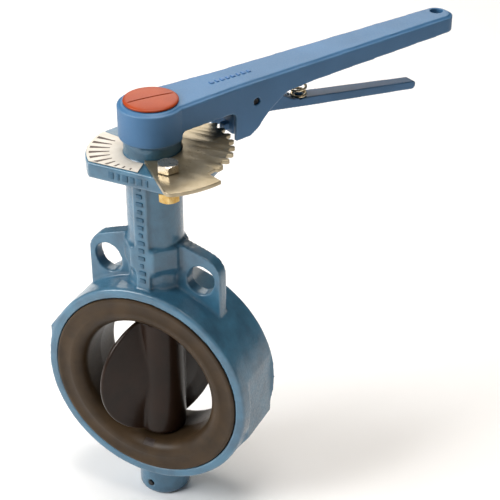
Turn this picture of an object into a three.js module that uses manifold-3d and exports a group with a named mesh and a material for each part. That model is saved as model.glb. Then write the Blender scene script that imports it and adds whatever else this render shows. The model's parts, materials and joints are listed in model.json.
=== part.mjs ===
// Lever-operated wafer butterfly valve, nominal size 100, with a resilient seat.
// Millimetres. Origin at the centre of the bore: +Z up the stem, +Y along the pipe.
// The rest pose has the lever 60.5 degrees from its closed position, out of 90.
import * as THREE from 'three';
import { mergeGeometries, mergeVertices } from 'three/addons/utils/BufferGeometryUtils.js';
import Module from 'manifold-3d';

const wasm = await Module();
wasm.setup();

// ---------------------------------------------------------------- clearances
const SEAT_GAP = 0.3;         // between faces that rest on each other
const RUN_GAP = 0.3;          // round a shaft that turns
const DISC_GAP = 0.3;         // disc rim to liner bore
const PAWL_GAP = 0.5;         // pawl nose to the tips of the notch teeth

// ---------------------------------------------------------------- pipe ring and liner
const BORE_R = 50;            // inside radius of the liner
const LINER_HALF_W = 26;      // half the face-to-face length, over the liner
const LINER_WALL = 6.7;       // liner thickness at the bore
const LINER_LIP_R = 70.5;     // outside radius of the liner's sealing faces
const LINER_LIP_T = 7.5;      // how far a sealing lip reaches in from its face
const LINER_FLARE = 9;        // radius that rounds the bore into a sealing face
const LINER_PROUD = 0.5;      // liner standing out of the body's faces
const RING_R = 78;            // outside radius of the body ring
const RING_CHAMFER = 1.2;
const PAD_CUT = 2.7;          // side flats, how far they cut into the ring
const PAD_HALF_W = 19;        // half the width of a side flat
const PAD_SHIFT = 5;          // the right flat sits towards +Y, the left one towards -Y
const PAD_TIP = 8.65;         // how far a side flat runs on to end in a proud corner

// ---------------------------------------------------------------- stem and its bearings
const STEM_R = 7;
const STEM_SQUARE = 9.8;      // across flats, at both drives
const BUSH_WALL = 1.9;
const NECK_BUSH_L = 20;
const BUSH_INSET = 5;         // bushings stand back this far from the ring and the liner
const BOSS_BUSH_L = 26;
const UPPER_STEM_FOOT = 18;   // lowest point of the upper stem, inside the disc
const SQUARE_L = 15;          // length of the lever's square on the stem
const LOWER_STEM_TOP = -24;
const SEAL_WIRE_R = 0.95;     // section of a stem O-ring

// ---------------------------------------------------------------- neck, boss and top flange
const NECK_R = 19;
const STRIP_W = 11;           // raised strip down the front and back of the neck
const STRIP_PROUD = 1.6;
const COLLAR_R = 22.5;        // eight-sided collar at the foot of the neck
const COLLAR_TOP = 110;
const COLLAR_H = 16;
const BOSS_R = 18.6;
const BOSS_FOOT = -103;
const BOSS_FLOOR = 6.5;       // metal below the lower stem
const LOCK_PIN_R = 2.2;       // hole for the pin that locks the lower stem's bushing
const LOCK_PIN_ANGLE = 263;   // degrees
const LOCK_PIN_UP = 9;        // above the boss's foot
const FLANGE_TOP = 174;
const FLANGE_T = 11;
const FLANGE_R = 44;
const FLANGE_FLAT = 32.5;     // half the width over the front and back flats
const FLANGE_PCD = 70;
const SPIGOT_R = 19.2;        // round boss that centres the notch plate
const SPIGOT_H = 11;

// ---------------------------------------------------------------- ears for the flange bolts
const EAR_T = 10;
const EAR_X = 50.5;           // outer edge of an ear
const EAR_CORNER_Z = 94;
const EAR_SHOULDER = [45, 102];
const EAR_ROUND = 12;         // radius on an ear's outer corner
const SHOULDER_ROUND = 14;    // radius where its top edge starts
const EAR_RIDGE = [36, 105.5];
const EAR_TOP_Z = 111;
const SLOT_PCD_MIN = 180;     // the slots take bolt circles between these two
const SLOT_PCD_MAX = 190.5;
const SLOT_W = 19.5;
const SLOT_ANGLE = 22.5;      // from the stem, for an eight-bolt circle

// ---------------------------------------------------------------- notch plate and scale
const PLATE_T = 3;
const TOOTH_TIP_R = 53.5;
const TOOTH_ROOT_R = 49.5;
const TOOTH_PITCH = 10;       // degrees
const TOOTH_COUNT = 10;       // notches, from closed at 0 to open at 90 degrees
const STOP_R = 64.5;          // shoulders that stop the lever
const STOP_CLOSED = -20;      // degrees
const STOP_OPEN = 110;
const PLATE_EDGE = 10.3;      // distance of the plate's straight edge from the stem axis
const PLATE_CORNER = 5;
const LABEL_T = 0.4;
const LABEL_FROM = 168;       // degrees
const LABEL_TO = 281;
const LABEL_R = 43;

// ---------------------------------------------------------------- fasteners
const BOLT_R = 4;
const BOLT_HOLE_R = 4.5;
const HEX_AF = 13;
const HEAD_H = 5.5;
const NUT_H = 6.5;
const BOLT_TAIL = 1.8;        // thread showing below the nut

// ---------------------------------------------------------------- lever, heights above the flange top
const LEVER_ANGLE = 60.5;     // rest pose, degrees from closed
const HUB_R = 22;
const HUB_GAP = 0.5;          // hub to spigot
const HUB_H = 24;
const LEVER_L = 251.6;        // stem axis to the tip
const LEVER_RISE = 3.9;       // how much higher the top face is at the tip
const ROOT_HALF_W = 19.6;     // half width of the arm where it leaves the hub
const HORN_HALF_W = 15.5;     // at the trigger housing
const TIP_HALF_W = 11.4;
const LEVER_EDGE = 1.7;       // rounding of the top edges
const LEVER_WALL = 3.2;
const LEVER_ROOF = 4.5;
const WALL_FOOT = 17.5;       // lower edge of the side walls, beside the hub
const ARM_FOOT = 23;          // lower edge of the side walls, behind the trigger housing
const ARM_FOOT_TIP = 27.5;    // the same edge at the tip
const HANG_HOLE_R = 4.6;
const HANG_HOLE_IN = 8.6;     // in from the tip
const HANG_HOLE_SIDE = 2.6;   // drilled off the middle of the arm
const HORN_GAP = 2;           // notch teeth to the front edge of the trigger housing
const HORN_FOOT = -3.4;       // the housing hangs below the flange top
const RECESS_R = 14.3;        // pocket under the cap
const RECESS_DEPTH = 9;
const CAP_R = 18;
const CAP_H = 2.6;
const WASHER_R = 10;
const WASHER_T = 1.6;
const SCREW_R = 3.5;          // screw that holds the lever down
const SCREW_HEAD_AF = 11;
const SCREW_HEAD_H = 4.6;

// ---------------------------------------------------------------- trigger, back from the housing's front edge
const PIVOT_BACK = 17.1;
const PIVOT_Z = 20.7;
const PIVOT_R = 2.5;
const TRIGGER_EYE_R = 6.6;
const TRIGGER_L = 165;        // housing's front edge to the trigger's tip
const TRIGGER_W = 12.4;       // at the spring
const TRIGGER_TIP_W = 9;
const NOSE_W = 5.2;
const SPRING_BACK = 62.5;
const SPRING_R = 5.8;
const SPRING_WIRE = 1.8;
const SPRING_SEAT_Z = 7.2;
const SPRING_PEG_L = 4;

// ---------------------------------------------------------------- facets round a full turn
const RING_STEPS = 64;
const DISC_STEPS = 56;
const HUB_STEPS = 36;
const SHAFT_STEPS = 24;
const BOLT_STEPS = 16;

// ---------------------------------------------------------------- finishes
const PAINT = { color: 0x3f6d96, roughness: 0.42, metalness: 0.05 };
const RUBBER = { color: 0x40372f, roughness: 0.72, metalness: 0 };
const DISC_COAT = { color: 0x33261f, roughness: 0.28, metalness: 0.1 };
const STEEL = { color: 0xa9a7a2, roughness: 0.35, metalness: 0.9 };
const ZINC = { color: 0xb9b2a4, roughness: 0.28, metalness: 0.95 };
const YELLOW_ZINC = { color: 0xc9a050, roughness: 0.35, metalness: 0.9 };
const CAP_PLASTIC = { color: 0xd2562f, roughness: 0.4, metalness: 0 };
const LABEL_INK = { color: 0xe9e2cc, roughness: 0.6, metalness: 0 };
const POLYMER = { color: 0xd9d4c6, roughness: 0.6, metalness: 0 };

// ---------------------------------------------------------------- helpers
const rad = (degrees) => THREE.MathUtils.degToRad(degrees);
const polar = (radius, degrees) => [radius * Math.cos(rad(degrees)), radius * Math.sin(rad(degrees))];

function bare(geometry) {
  const copy = geometry.index ? geometry.clone() : geometry;
  copy.deleteAttribute('normal');
  copy.deleteAttribute('uv');
  return mergeVertices(copy, 1e-4);
}

function solid(geometry) {
  const merged = bare(geometry);
  const mesh = new wasm.Mesh({
    numProp: 3,
    vertProperties: new Float32Array(merged.attributes.position.array),
    triVerts: new Uint32Array(merged.index.array),
  });
  return new wasm.Manifold(mesh);
}

function geometryOf(manifold) {
  const mesh = manifold.getMesh();
  const geometry = new THREE.BufferGeometry();
  geometry.setAttribute('position', new THREE.BufferAttribute(mesh.vertProperties, 3));
  geometry.setIndex(new THREE.BufferAttribute(mesh.triVerts, 1));
  return geometry;
}

function node(parent, name, shape, finish) {
  const geometry = shape instanceof THREE.BufferGeometry ? shape : geometryOf(shape);
  const mesh = new THREE.Mesh(geometry, new THREE.MeshStandardMaterial({ ...finish }));
  mesh.name = name;
  parent.add(mesh);
  return mesh;
}

// A closed outline from [x, y] corners; a corner with a third value is rounded to that radius.
function outline(corners, steps = 6) {
  const points = [];
  corners.forEach(([x, y, radius = 0], i) => {
    if (!radius) {
      points.push(new THREE.Vector2(x, y));
      return;
    }
    const here = new THREE.Vector2(x, y);
    const before = new THREE.Vector2(...corners.at(i - 1).slice(0, 2)).sub(here).normalize();
    const next = corners[(i + 1) % corners.length];
    const after = new THREE.Vector2(next[0], next[1]).sub(here).normalize();
    const half = Math.acos(THREE.MathUtils.clamp(before.dot(after), -1, 1)) / 2;
    const reach = radius / Math.tan(half);
    const start = here.clone().addScaledVector(before, reach);
    const end = here.clone().addScaledVector(after, reach);
    const inward = before.clone().add(after).normalize();
    const centre = here.clone().addScaledVector(inward, radius / Math.sin(half));
    const a0 = Math.atan2(start.y - centre.y, start.x - centre.x);
    let sweep = Math.atan2(end.y - centre.y, end.x - centre.x) - a0;
    sweep -= 2 * Math.PI * Math.round(sweep / (2 * Math.PI));
    for (let k = 0; k <= steps; k += 1) {
      const a = a0 + (sweep * k) / steps;
      points.push(new THREE.Vector2(centre.x + radius * Math.cos(a), centre.y + radius * Math.sin(a)));
    }
  });
  return points;
}

function arc(radius, from, to, steps, cx = 0, cy = 0) {
  const points = [];
  for (let k = 0; k <= steps; k += 1) {
    const a = rad(from + ((to - from) * k) / steps);
    points.push(new THREE.Vector2(cx + radius * Math.cos(a), cy + radius * Math.sin(a)));
  }
  return points;
}

// Upright prism on an XY outline.
function prism(points, z0, z1, bevel = 0) {
  const geometry = new THREE.ExtrudeGeometry(new THREE.Shape(points), {
    depth: z1 - z0 - 2 * bevel,
    bevelEnabled: bevel > 0,
    bevelThickness: bevel,
    bevelSize: bevel,
    bevelOffset: -bevel,
    bevelSegments: 2,
  });
  return geometry.translate(0, 0, z0 + bevel);
}

// Prism on an XZ outline, running along Y.
function slab(points, y0, y1, bevel = 0) {
  return prism(points, -y1, -y0, bevel).rotateX(Math.PI / 2);
}

function drum(radius, z0, z1, segments = HUB_STEPS) {
  const height = z1 - z0;
  const upright = new THREE.CylinderGeometry(radius, radius, height, segments).rotateX(Math.PI / 2);
  return upright.translate(0, 0, z0 + height / 2);
}

function bar(dx, dy, z0, z1) {
  return new THREE.BoxGeometry(dx, dy, z1 - z0).translate(0, 0, (z0 + z1) / 2);
}

// A turned piece about the stem axis, from [radius, z] points that start and end on the axis.
function turned(profile, segments = HUB_STEPS) {
  const points = profile.map(([r, z]) => new THREE.Vector2(r, z));
  return new THREE.LatheGeometry(points, segments).rotateX(Math.PI / 2);
}

// A turned ring about the stem axis.
function sleeve(inner, outer, z0, z1, segments = SHAFT_STEPS) {
  return turned([[inner, z0], [outer, z0], [outer, z1], [inner, z1], [inner, z0]], segments);
}

function hexagon(acrossFlats, z0, z1) {
  const corner = acrossFlats / Math.sqrt(3);
  return drum(corner, z0, z1, 6);
}

// A hexagon whose corners are turned off by a cone at the top, the bottom or both.
function turnedHexagon(acrossFlats, z0, z1, top, bottom) {
  const flat = acrossFlats / 2 - 0.2;
  const corner = acrossFlats / Math.sqrt(3) + 0.1;
  const fall = (corner - flat) * Math.tan(rad(30));
  const cone = turned([
    [0, z0], [bottom ? flat : corner, z0], [corner, z0 + (bottom ? fall : 0)],
    [corner, z1 - (top ? fall : 0)], [top ? flat : corner, z1], [0, z1],
  ], 18);
  return solid(hexagon(acrossFlats, z0, z1)).intersect(solid(cone));
}

// ---------------------------------------------------------------- valve body
const bodyHalfW = LINER_HALF_W - LINER_PROUD;
const seatR = BORE_R + LINER_WALL + SEAT_GAP;
const lipSeatR = LINER_LIP_R + SEAT_GAP;
const lipSeatY = LINER_HALF_W - LINER_LIP_T - SEAT_GAP;
const neckBoreR = STEM_R + RUN_GAP + BUSH_WALL + SEAT_GAP;
const flangeFoot = FLANGE_TOP - FLANGE_T;
const spigotTop = FLANGE_TOP + SPIGOT_H;
const boltCircle = FLANGE_PCD / 2;
const plateTop = FLANGE_TOP + PLATE_T;
const hubFoot = SPIGOT_H + HUB_GAP;
const hubTop = hubFoot + HUB_H;
const recessFloor = hubTop - RECESS_DEPTH;

function bodyRing() {
  const c = RING_CHAMFER;
  const side = [
    [seatR, 0], [seatR, lipSeatY], [lipSeatR, lipSeatY], [lipSeatR, bodyHalfW],
    [RING_R - c, bodyHalfW], [RING_R, bodyHalfW - c],
  ];
  const mirrored = side.slice(1).reverse().map(([r, y]) => [r, -y]);
  const profile = [...side, ...mirrored, side[0]].reverse().map(([r, y]) => new THREE.Vector2(r, y));
  return solid(new THREE.LatheGeometry(profile, RING_STEPS));
}

// Each side has a flat that cuts into the ring and ends, on one side only, in a proud corner.
function sidePads(ring) {
  const padX = RING_R - PAD_CUT;
  const cut = PAD_CUT + 10;
  const chord = Math.sqrt(RING_R ** 2 - padX ** 2);
  const tip = chord + PAD_TIP;
  const tangent = Math.atan2(tip, padX) + Math.acos(RING_R / Math.hypot(padX, tip));
  const inset = 6;
  const wedge = [
    [padX, chord], [padX, -tip],
    [RING_R * Math.cos(tangent), -RING_R * Math.sin(tangent)],
    [(RING_R - inset) * Math.cos(tangent), -(RING_R - inset) * Math.sin(tangent)],
    [padX - inset, 0],
  ];
  for (const side of [1, -1]) {
    const flip = ([x, z]) => new THREE.Vector2(x * side, z * side);
    const mid = side * PAD_SHIFT;
    const away = new THREE.BoxGeometry(cut, 2 * PAD_HALF_W, 2 * chord);
    away.translate(side * (padX + cut / 2), mid, 0);
    const proud = slab(wedge.map(flip), mid - PAD_HALF_W, mid + PAD_HALF_W);
    ring = ring.subtract(solid(away)).add(solid(proud));
  }
  return ring;
}

function ear(side) {
  const inner = 12;
  const base = RING_R - 12;
  const edge = [
    [inner, base], [EAR_X, base - 6], [EAR_X, EAR_CORNER_Z, EAR_ROUND],
    [...EAR_SHOULDER, SHOULDER_ROUND], [...EAR_RIDGE, 12], [NECK_R, EAR_TOP_Z], [inner, EAR_TOP_Z],
  ].map(([x, z, r]) => [x * side, z, r]);
  return solid(slab(outline(edge), -EAR_T / 2, EAR_T / 2, 1.4));
}

function earSlot(side) {
  const half = SLOT_W / 2;
  const inner = (SLOT_PCD_MIN / 2 - half) + 1.5;
  const outer = (SLOT_PCD_MAX / 2 + half) - 1.5;
  const box = [[-half, inner, half], [half, inner, half], [half, outer, half], [-half, outer, half]];
  const slot = outline(box.map(([x, z]) => [x, z, half - 0.2]), 5);
  return solid(slab(slot, -EAR_T, EAR_T).rotateY(rad(SLOT_ANGLE * side)));
}

function collar() {
  const foot = COLLAR_TOP - COLLAR_H;
  const profile = [
    [0, RING_R - 8], [NECK_R, RING_R - 8], [NECK_R, foot - 7], [COLLAR_R, foot],
    [COLLAR_R, COLLAR_TOP - 1.5], [COLLAR_R - 1.5, COLLAR_TOP], [0, COLLAR_TOP],
  ];
  return solid(turned(profile, 8).rotateZ(rad(22.5)));
}

function neckStrip(side) {
  const reach = NECK_R + STRIP_PROUD;
  const foot = RING_R - 6;
  const strip = new THREE.BoxGeometry(STRIP_W, reach, flangeFoot - foot + 2);
  return solid(strip.translate(0, (side * reach) / 2, (flangeFoot + foot + 2) / 2));
}

function topFlange() {
  const flat = Math.asin(FLANGE_FLAT / FLANGE_R) * THREE.MathUtils.RAD2DEG;
  const edge = [...arc(FLANGE_R, -flat, flat, 14), ...arc(FLANGE_R, 180 - flat, 180 + flat, 14)];
  let flange = solid(prism(edge, flangeFoot, FLANGE_TOP, 1));
  for (const angle of [45, 135, 225, 315]) {
    const [x, y] = polar(boltCircle, angle);
    const hole = drum(BOLT_HOLE_R, flangeFoot - 5, FLANGE_TOP + 5, BOLT_STEPS).translate(x, y, 0);
    flange = flange.subtract(solid(hole));
  }
  return flange;
}

const bossBoreFloor = BOSS_FOOT + BOSS_FLOOR;
const lockPinZ = BOSS_FOOT + LOCK_PIN_UP;

function lockPin(radius, from, to) {
  const radial = drum(radius, from, to, 20).rotateY(Math.PI / 2).rotateZ(rad(LOCK_PIN_ANGLE));
  return radial.translate(0, 0, lockPinZ);
}

function valveBody() {
  const neckFoot = RING_R - 8;
  const bossTop = -(seatR + 3);
  const neck = turned([
    [0, neckFoot], [NECK_R, neckFoot], [NECK_R, flangeFoot - 2], [NECK_R + 2, flangeFoot],
    [NECK_R + 2, flangeFoot + 1], [SPIGOT_R, flangeFoot + 2], [SPIGOT_R, spigotTop - 0.6],
    [SPIGOT_R - 0.6, spigotTop], [0, spigotTop],
  ]);
  const boss = turned([
    [0, bossTop], [0, BOSS_FOOT], [BOSS_R - 3, BOSS_FOOT], [BOSS_R - 0.9, BOSS_FOOT + 0.9],
    [BOSS_R, BOSS_FOOT + 3], [BOSS_R, bossTop], [0, bossTop],
  ]);
  const body = sidePads(bodyRing())
    .add(ear(1)).add(ear(-1)).add(solid(neck)).add(solid(boss))
    .add(collar()).add(neckStrip(1)).add(neckStrip(-1)).add(topFlange());
  const waterway = solid(new THREE.CylinderGeometry(seatR, seatR, 2 * lipSeatY, RING_STEPS));
  const lips = solid(new THREE.CylinderGeometry(lipSeatR, lipSeatR, 80, RING_STEPS))
    .subtract(solid(new THREE.CylinderGeometry(100, 100, 2 * lipSeatY, 8)));
  return body.subtract(waterway).subtract(lips)
    .subtract(earSlot(1)).subtract(earSlot(-1))
    .subtract(solid(drum(neckBoreR, 30, spigotTop + 5, SHAFT_STEPS)))
    .subtract(solid(drum(neckBoreR, bossBoreFloor, -30, SHAFT_STEPS)))
    .subtract(solid(lockPin(LOCK_PIN_R, neckBoreR - 1, BOSS_R + 5)));
}

// ---------------------------------------------------------------- liner
function seatLiner() {
  const lipFoot = LINER_HALF_W - LINER_LIP_T;
  const flareY = LINER_HALF_W - LINER_FLARE;
  const flare = arc(LINER_FLARE, 180, 90, 4, BORE_R + LINER_FLARE, flareY);
  const edge = 1;
  const half = [
    new THREE.Vector2(BORE_R, 0), ...flare,
    new THREE.Vector2(LINER_LIP_R - edge, LINER_HALF_W),
    new THREE.Vector2(LINER_LIP_R, LINER_HALF_W - edge),
    new THREE.Vector2(LINER_LIP_R, lipFoot),
    new THREE.Vector2(BORE_R + LINER_WALL, lipFoot),
  ];
  const other = half.slice(1).reverse().map((p) => new THREE.Vector2(p.x, -p.y));
  const ring = new THREE.LatheGeometry([...half, ...other, half[0]].reverse(), RING_STEPS);
  const stemHole = drum(STEM_R + RUN_GAP, -80, 80, SHAFT_STEPS);
  return solid(ring).subtract(solid(stemHole));
}

// ---------------------------------------------------------------- disc and stems (+X along the lever)
const discR = BORE_R - DISC_GAP;
const square = STEM_SQUARE + 2 * SEAT_GAP;
const HUB_TUBE_R = 17;
const WEB_T = 8;
const RIM_T = 3.6;

function disc() {
  const rimHalf = RIM_T / 2;
  const rimAngle = Math.asin(rimHalf / discR) * THREE.MathUtils.RAD2DEG;
  const side = [
    [0, WEB_T], [HUB_TUBE_R, WEB_T - 0.5], [discR - 19.7, WEB_T / 2 + 0.4], [discR - 6.7, rimHalf + 0.5],
    [discR - 3, rimHalf],
  ].map(([r, y]) => new THREE.Vector2(r, y));
  const other = side.map((p) => new THREE.Vector2(p.x, -p.y)).reverse();
  const rim = arc(discR, rimAngle, -rimAngle, 2);
  const plate = new THREE.LatheGeometry([...side, ...rim, ...other].reverse(), DISC_STEPS);
  const domeR = discR - 0.2;
  const dome = Math.acos(HUB_TUBE_R / domeR) * THREE.MathUtils.RAD2DEG;
  const tube = turned([
    [0, -domeR], ...arc(domeR, -90, -dome, 3).slice(1).map((p) => [p.x, p.y]),
    ...arc(domeR, dome, 90, 3).slice(0, -1).map((p) => [p.x, p.y]), [0, domeR],
  ], 32);
  const squareTop = UPPER_STEM_FOOT + SQUARE_L - SEAT_GAP;
  return solid(plate).add(solid(tube))
    .subtract(solid(bar(square, square, UPPER_STEM_FOOT - SEAT_GAP, squareTop + 1)))
    .subtract(solid(drum(STEM_R + SEAT_GAP, squareTop, 80, SHAFT_STEPS)))
    .subtract(solid(drum(STEM_R + SEAT_GAP, -80, LOWER_STEM_TOP + SEAT_GAP, SHAFT_STEPS)));
}

const stemTop = FLANGE_TOP + recessFloor - SEAT_GAP;
const stemShoulder = FLANGE_TOP + hubFoot - SEAT_GAP;

function upperStem() {
  const squareTop = UPPER_STEM_FOOT + SQUARE_L;
  const profile = [[0, squareTop], [STEM_R, squareTop], [STEM_R, stemShoulder], [0, stemShoulder]];
  const shaft = turned(profile, SHAFT_STEPS);
  const foot = bar(STEM_SQUARE, STEM_SQUARE, UPPER_STEM_FOOT, squareTop + 1);
  const head = bar(STEM_SQUARE, STEM_SQUARE, stemShoulder - 1, stemTop);
  return solid(shaft).add(solid(foot)).add(solid(head))
    .subtract(solid(drum(SCREW_R + SEAT_GAP, stemShoulder - 4, stemTop + 5, BOLT_STEPS)));
}

function lowerStem() {
  const foot = bossBoreFloor + SEAT_GAP;
  return turned([
    [0, foot], [STEM_R - 1, foot], [STEM_R, foot + 1], [STEM_R, LOWER_STEM_TOP - 1],
    [STEM_R - 1, LOWER_STEM_TOP], [0, LOWER_STEM_TOP],
  ], SHAFT_STEPS);
}

// ---------------------------------------------------------------- notch plate and label
function notchTeeth() {
  const points = [];
  const mid = (TOOTH_TIP_R + TOOTH_ROOT_R) / 2;
  const shape = [
    [-0.39, TOOTH_TIP_R - 0.5], [-0.32, mid + 0.9], [-0.23, TOOTH_ROOT_R + 0.5], [-0.13, TOOTH_ROOT_R],
    [0.13, TOOTH_ROOT_R], [0.23, TOOTH_ROOT_R + 0.5], [0.32, mid + 0.9], [0.39, TOOTH_TIP_R - 0.5],
    [0.5, TOOTH_TIP_R],
  ];
  for (let k = 0; k < TOOTH_COUNT; k += 1) {
    for (const [turn, r] of shape) {
      points.push(new THREE.Vector2(...polar(r, (k + turn) * TOOTH_PITCH)));
    }
  }
  return points;
}

// Where the plate's straight edge meets a circle: heading -45 degrees for the near end, 135 for the far one.
function plateEdgeAt(radius, heading) {
  const foot = new THREE.Vector2(...polar(PLATE_EDGE, -135));
  const along = Math.sqrt(radius ** 2 - PLATE_EDGE ** 2);
  return foot.add(new THREE.Vector2(...polar(along, heading)));
}

function notchPlate() {
  const innerR = SPIGOT_R + SEAT_GAP;
  const angleOf = (p) => THREE.MathUtils.radToDeg(p.angle());
  const corner = plateEdgeAt(STOP_R, -45);
  const cornerAngle = angleOf(corner) - 360;
  const beside = plateEdgeAt(STOP_R - 12, -45);
  const rounded = outline([
    polar(STOP_R, cornerAngle + 8), [corner.x, corner.y, PLATE_CORNER], [beside.x, beside.y],
  ], 4).slice(1, -1).reverse();
  const innerFrom = angleOf(plateEdgeAt(innerR, 135));
  const innerTo = angleOf(plateEdgeAt(innerR, -45)) - 360;
  const stopRootR = TOOTH_ROOT_R + 1.5;
  const lastTooth = TOOTH_COUNT * TOOTH_PITCH;
  const points = [
    ...rounded,
    ...arc(STOP_R, cornerAngle + 8, STOP_CLOSED, 6),
    new THREE.Vector2(...polar(stopRootR, STOP_CLOSED + 1)),
    new THREE.Vector2(...polar(stopRootR, -TOOTH_PITCH - 0.5)),
    new THREE.Vector2(...polar(TOOTH_TIP_R - 0.5, 0.5 - TOOTH_PITCH)),
    new THREE.Vector2(...polar(TOOTH_TIP_R, -TOOTH_PITCH / 2)),
    ...notchTeeth(),
    new THREE.Vector2(...polar(TOOTH_TIP_R - 0.5, lastTooth - 0.5)),
    new THREE.Vector2(...polar(stopRootR, lastTooth + 0.5)),
    new THREE.Vector2(...polar(stopRootR, STOP_OPEN - 1)),
    ...arc(STOP_R, STOP_OPEN, 133, 6),
    plateEdgeAt(FLANGE_R, 135),
    ...arc(innerR, innerFrom, innerTo, 24),
  ];
  let plate = solid(prism(points, FLANGE_TOP + SEAT_GAP, FLANGE_TOP + PLATE_T));
  for (const angle of [-45, 135]) {
    const [x, y] = polar(boltCircle, angle);
    const hole = drum(BOLT_HOLE_R, FLANGE_TOP - 5, plateTop + 5, BOLT_STEPS).translate(x, y, 0);
    plate = plate.subtract(solid(hole));
  }
  return plate;
}

function scaleLabel() {
  const inner = SPIGOT_R + SEAT_GAP;
  const ring = [...arc(LABEL_R, LABEL_FROM, LABEL_TO, 24), ...arc(inner, LABEL_TO, LABEL_FROM, 16)];
  const sheet = solid(prism(ring, FLANGE_TOP + SEAT_GAP, FLANGE_TOP + SEAT_GAP + LABEL_T));
  const keep = new THREE.BoxGeometry(200, 2 * (FLANGE_FLAT - 1.5), 20).translate(0, 0, FLANGE_TOP);
  return sheet.intersect(solid(keep));
}

// ---------------------------------------------------------------- fasteners

function boltShape() {
  const head = turnedHexagon(HEX_AF, plateTop + SEAT_GAP, plateTop + SEAT_GAP + HEAD_H, true, false);
  const tail = flangeFoot - NUT_H - BOLT_TAIL;
  const shank = turned([
    [0, tail], [BOLT_R - 0.8, tail], [BOLT_R, tail + 0.8], [BOLT_R, plateTop + 1], [0, plateTop + 1],
  ], BOLT_STEPS);
  return head.add(solid(shank));
}

function nutShape() {
  const top = flangeFoot - SEAT_GAP;
  const bore = drum(BOLT_R + SEAT_GAP, top - 20, top + 5, BOLT_STEPS);
  return turnedHexagon(HEX_AF, top - NUT_H, top, true, true).subtract(solid(bore));
}

// ---------------------------------------------------------------- lever (lever frame)
const slope = LEVER_RISE / (LEVER_L - HUB_R);
const rise = new THREE.Matrix4().set(
  1, 0, 0, 0,
  0, 1, 0, 0,
  slope, 0, 1, -slope * HUB_R,
  0, 0, 0, 1,
);
const hornS = TOOTH_TIP_R + HORN_GAP;
const pivotS = hornS + PIVOT_BACK;
const springS = hornS + SPRING_BACK;

function armOutline(inset, from, to) {
  const halfAt = (s) => (s < hornS
    ? THREE.MathUtils.mapLinear(s, 0, hornS, ROOT_HALF_W, HORN_HALF_W)
    : THREE.MathUtils.mapLinear(s, hornS, LEVER_L, HORN_HALF_W, TIP_HALF_W)) - inset;
  const round = (TIP_HALF_W - inset) * 0.92;
  return outline([
    [from, -halfAt(from)], [hornS, -halfAt(hornS)], [to, -halfAt(to), round],
    [to, halfAt(to), round], [hornS, halfAt(hornS)], [from, halfAt(from)],
  ], 8);
}

function crossPin(radius, halfLength) {
  const pin = new THREE.CylinderGeometry(radius, radius, 2 * halfLength, BOLT_STEPS);
  return pin.translate(pivotS, 0, PIVOT_Z);
}

// Side view of the arm: the trigger housing hangs from it like a horn.
function leverProfile() {
  const top = hubTop + 20;
  const beyond = LEVER_L + 5;
  return outline([
    [0, top], [0, WALL_FOOT - 1.5], [12, WALL_FOOT - 1.5], [14, WALL_FOOT],
    [hornS, WALL_FOOT, 4], [hornS, HORN_FOOT], [hornS + 11.5, HORN_FOOT + 0.3, 6],
    [hornS + 18.4, HORN_FOOT + 4.8, 8], [hornS + 24, HORN_FOOT + 11.4, 10], [hornS + 30.5, HORN_FOOT + 16.4],
    [hornS + 42.5, ARM_FOOT - 1.8, 8], [hornS + 67.5, ARM_FOOT], [beyond, ARM_FOOT_TIP], [beyond, top],
  ], 4);
}

function raisedMark() {
  const from = hornS - 9.5;
  const to = hornS + 22.5;
  const corners = [[from, -4.5, 3], [to, -4, 3], [to, 4, 3], [from, 4.5, 3]];
  return prism(outline(corners, 4), hubTop - 2, hubTop + 0.6).applyMatrix4(rise);
}

function leverHandle() {
  const deep = HORN_FOOT - 10;
  const arm = prism(armOutline(0, 0, LEVER_L), deep, hubTop, LEVER_EDGE).applyMatrix4(rise);
  const hub = turned([
    [0, hubFoot], [HUB_R - 1, hubFoot], [HUB_R, hubFoot + 1], [HUB_R, hubTop - 1.6],
    [HUB_R - 0.5, hubTop - 0.5], [HUB_R - 1.6, hubTop], [0, hubTop],
  ], 48);
  const relief = bar(40, 60, hubFoot - 5, WALL_FOOT - 1.5).translate(30, 0, 0);
  const channel = prism(armOutline(LEVER_WALL, HUB_R + 2, LEVER_L - 18), deep - 5, hubTop - LEVER_ROOF);
  const hangHole = drum(HANG_HOLE_R, deep, hubTop + 20, 28);
  hangHole.translate(LEVER_L - HANG_HOLE_IN, HANG_HOLE_SIDE, 0);
  return solid(arm).intersect(solid(slab(leverProfile(), -40, 40)))
    .add(solid(hub))
    .subtract(solid(relief))
    .subtract(solid(channel.applyMatrix4(rise)))
    .add(solid(raisedMark()))
    .subtract(solid(bar(square, square, hubFoot - 5, recessFloor + 1)))
    .subtract(solid(drum(RECESS_R, recessFloor, hubTop + 5)))
    .subtract(solid(hangHole))
    .subtract(solid(crossPin(PIVOT_R + SEAT_GAP, 30)));
}

function hubCap() {
  const base = hubTop + SEAT_GAP;
  const plugFoot = recessFloor + 3;
  const plugR = RECESS_R - SEAT_GAP;
  const plugBore = plugR - 1.6;
  return turned([
    [0, base + 0.2], [plugBore, base + 0.2], [plugBore, plugFoot], [plugR, plugFoot], [plugR, base],
    [CAP_R - 0.3, base], [CAP_R, base + 0.4], [CAP_R, base + CAP_H - 1.5], [CAP_R - 1, base + CAP_H - 0.7],
    [CAP_R - 4, base + CAP_H - 0.3], [CAP_R / 2, base + CAP_H - 0.1], [0, base + CAP_H],
  ]);
}

function leverScrew() {
  const under = recessFloor + 2 * SEAT_GAP + WASHER_T;
  const foot = hubFoot - 2;
  const shank = turned([
    [0, foot], [SCREW_R - 0.6, foot], [SCREW_R, foot + 1], [SCREW_R, under + 1], [0, under + 1],
  ], BOLT_STEPS);
  return turnedHexagon(SCREW_HEAD_AF, under, under + SCREW_HEAD_H, true, false).add(solid(shank));
}

function leverWasher() {
  const foot = recessFloor + SEAT_GAP;
  return sleeve(SCREW_R + SEAT_GAP, WASHER_R, foot, foot + WASHER_T);
}

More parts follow.
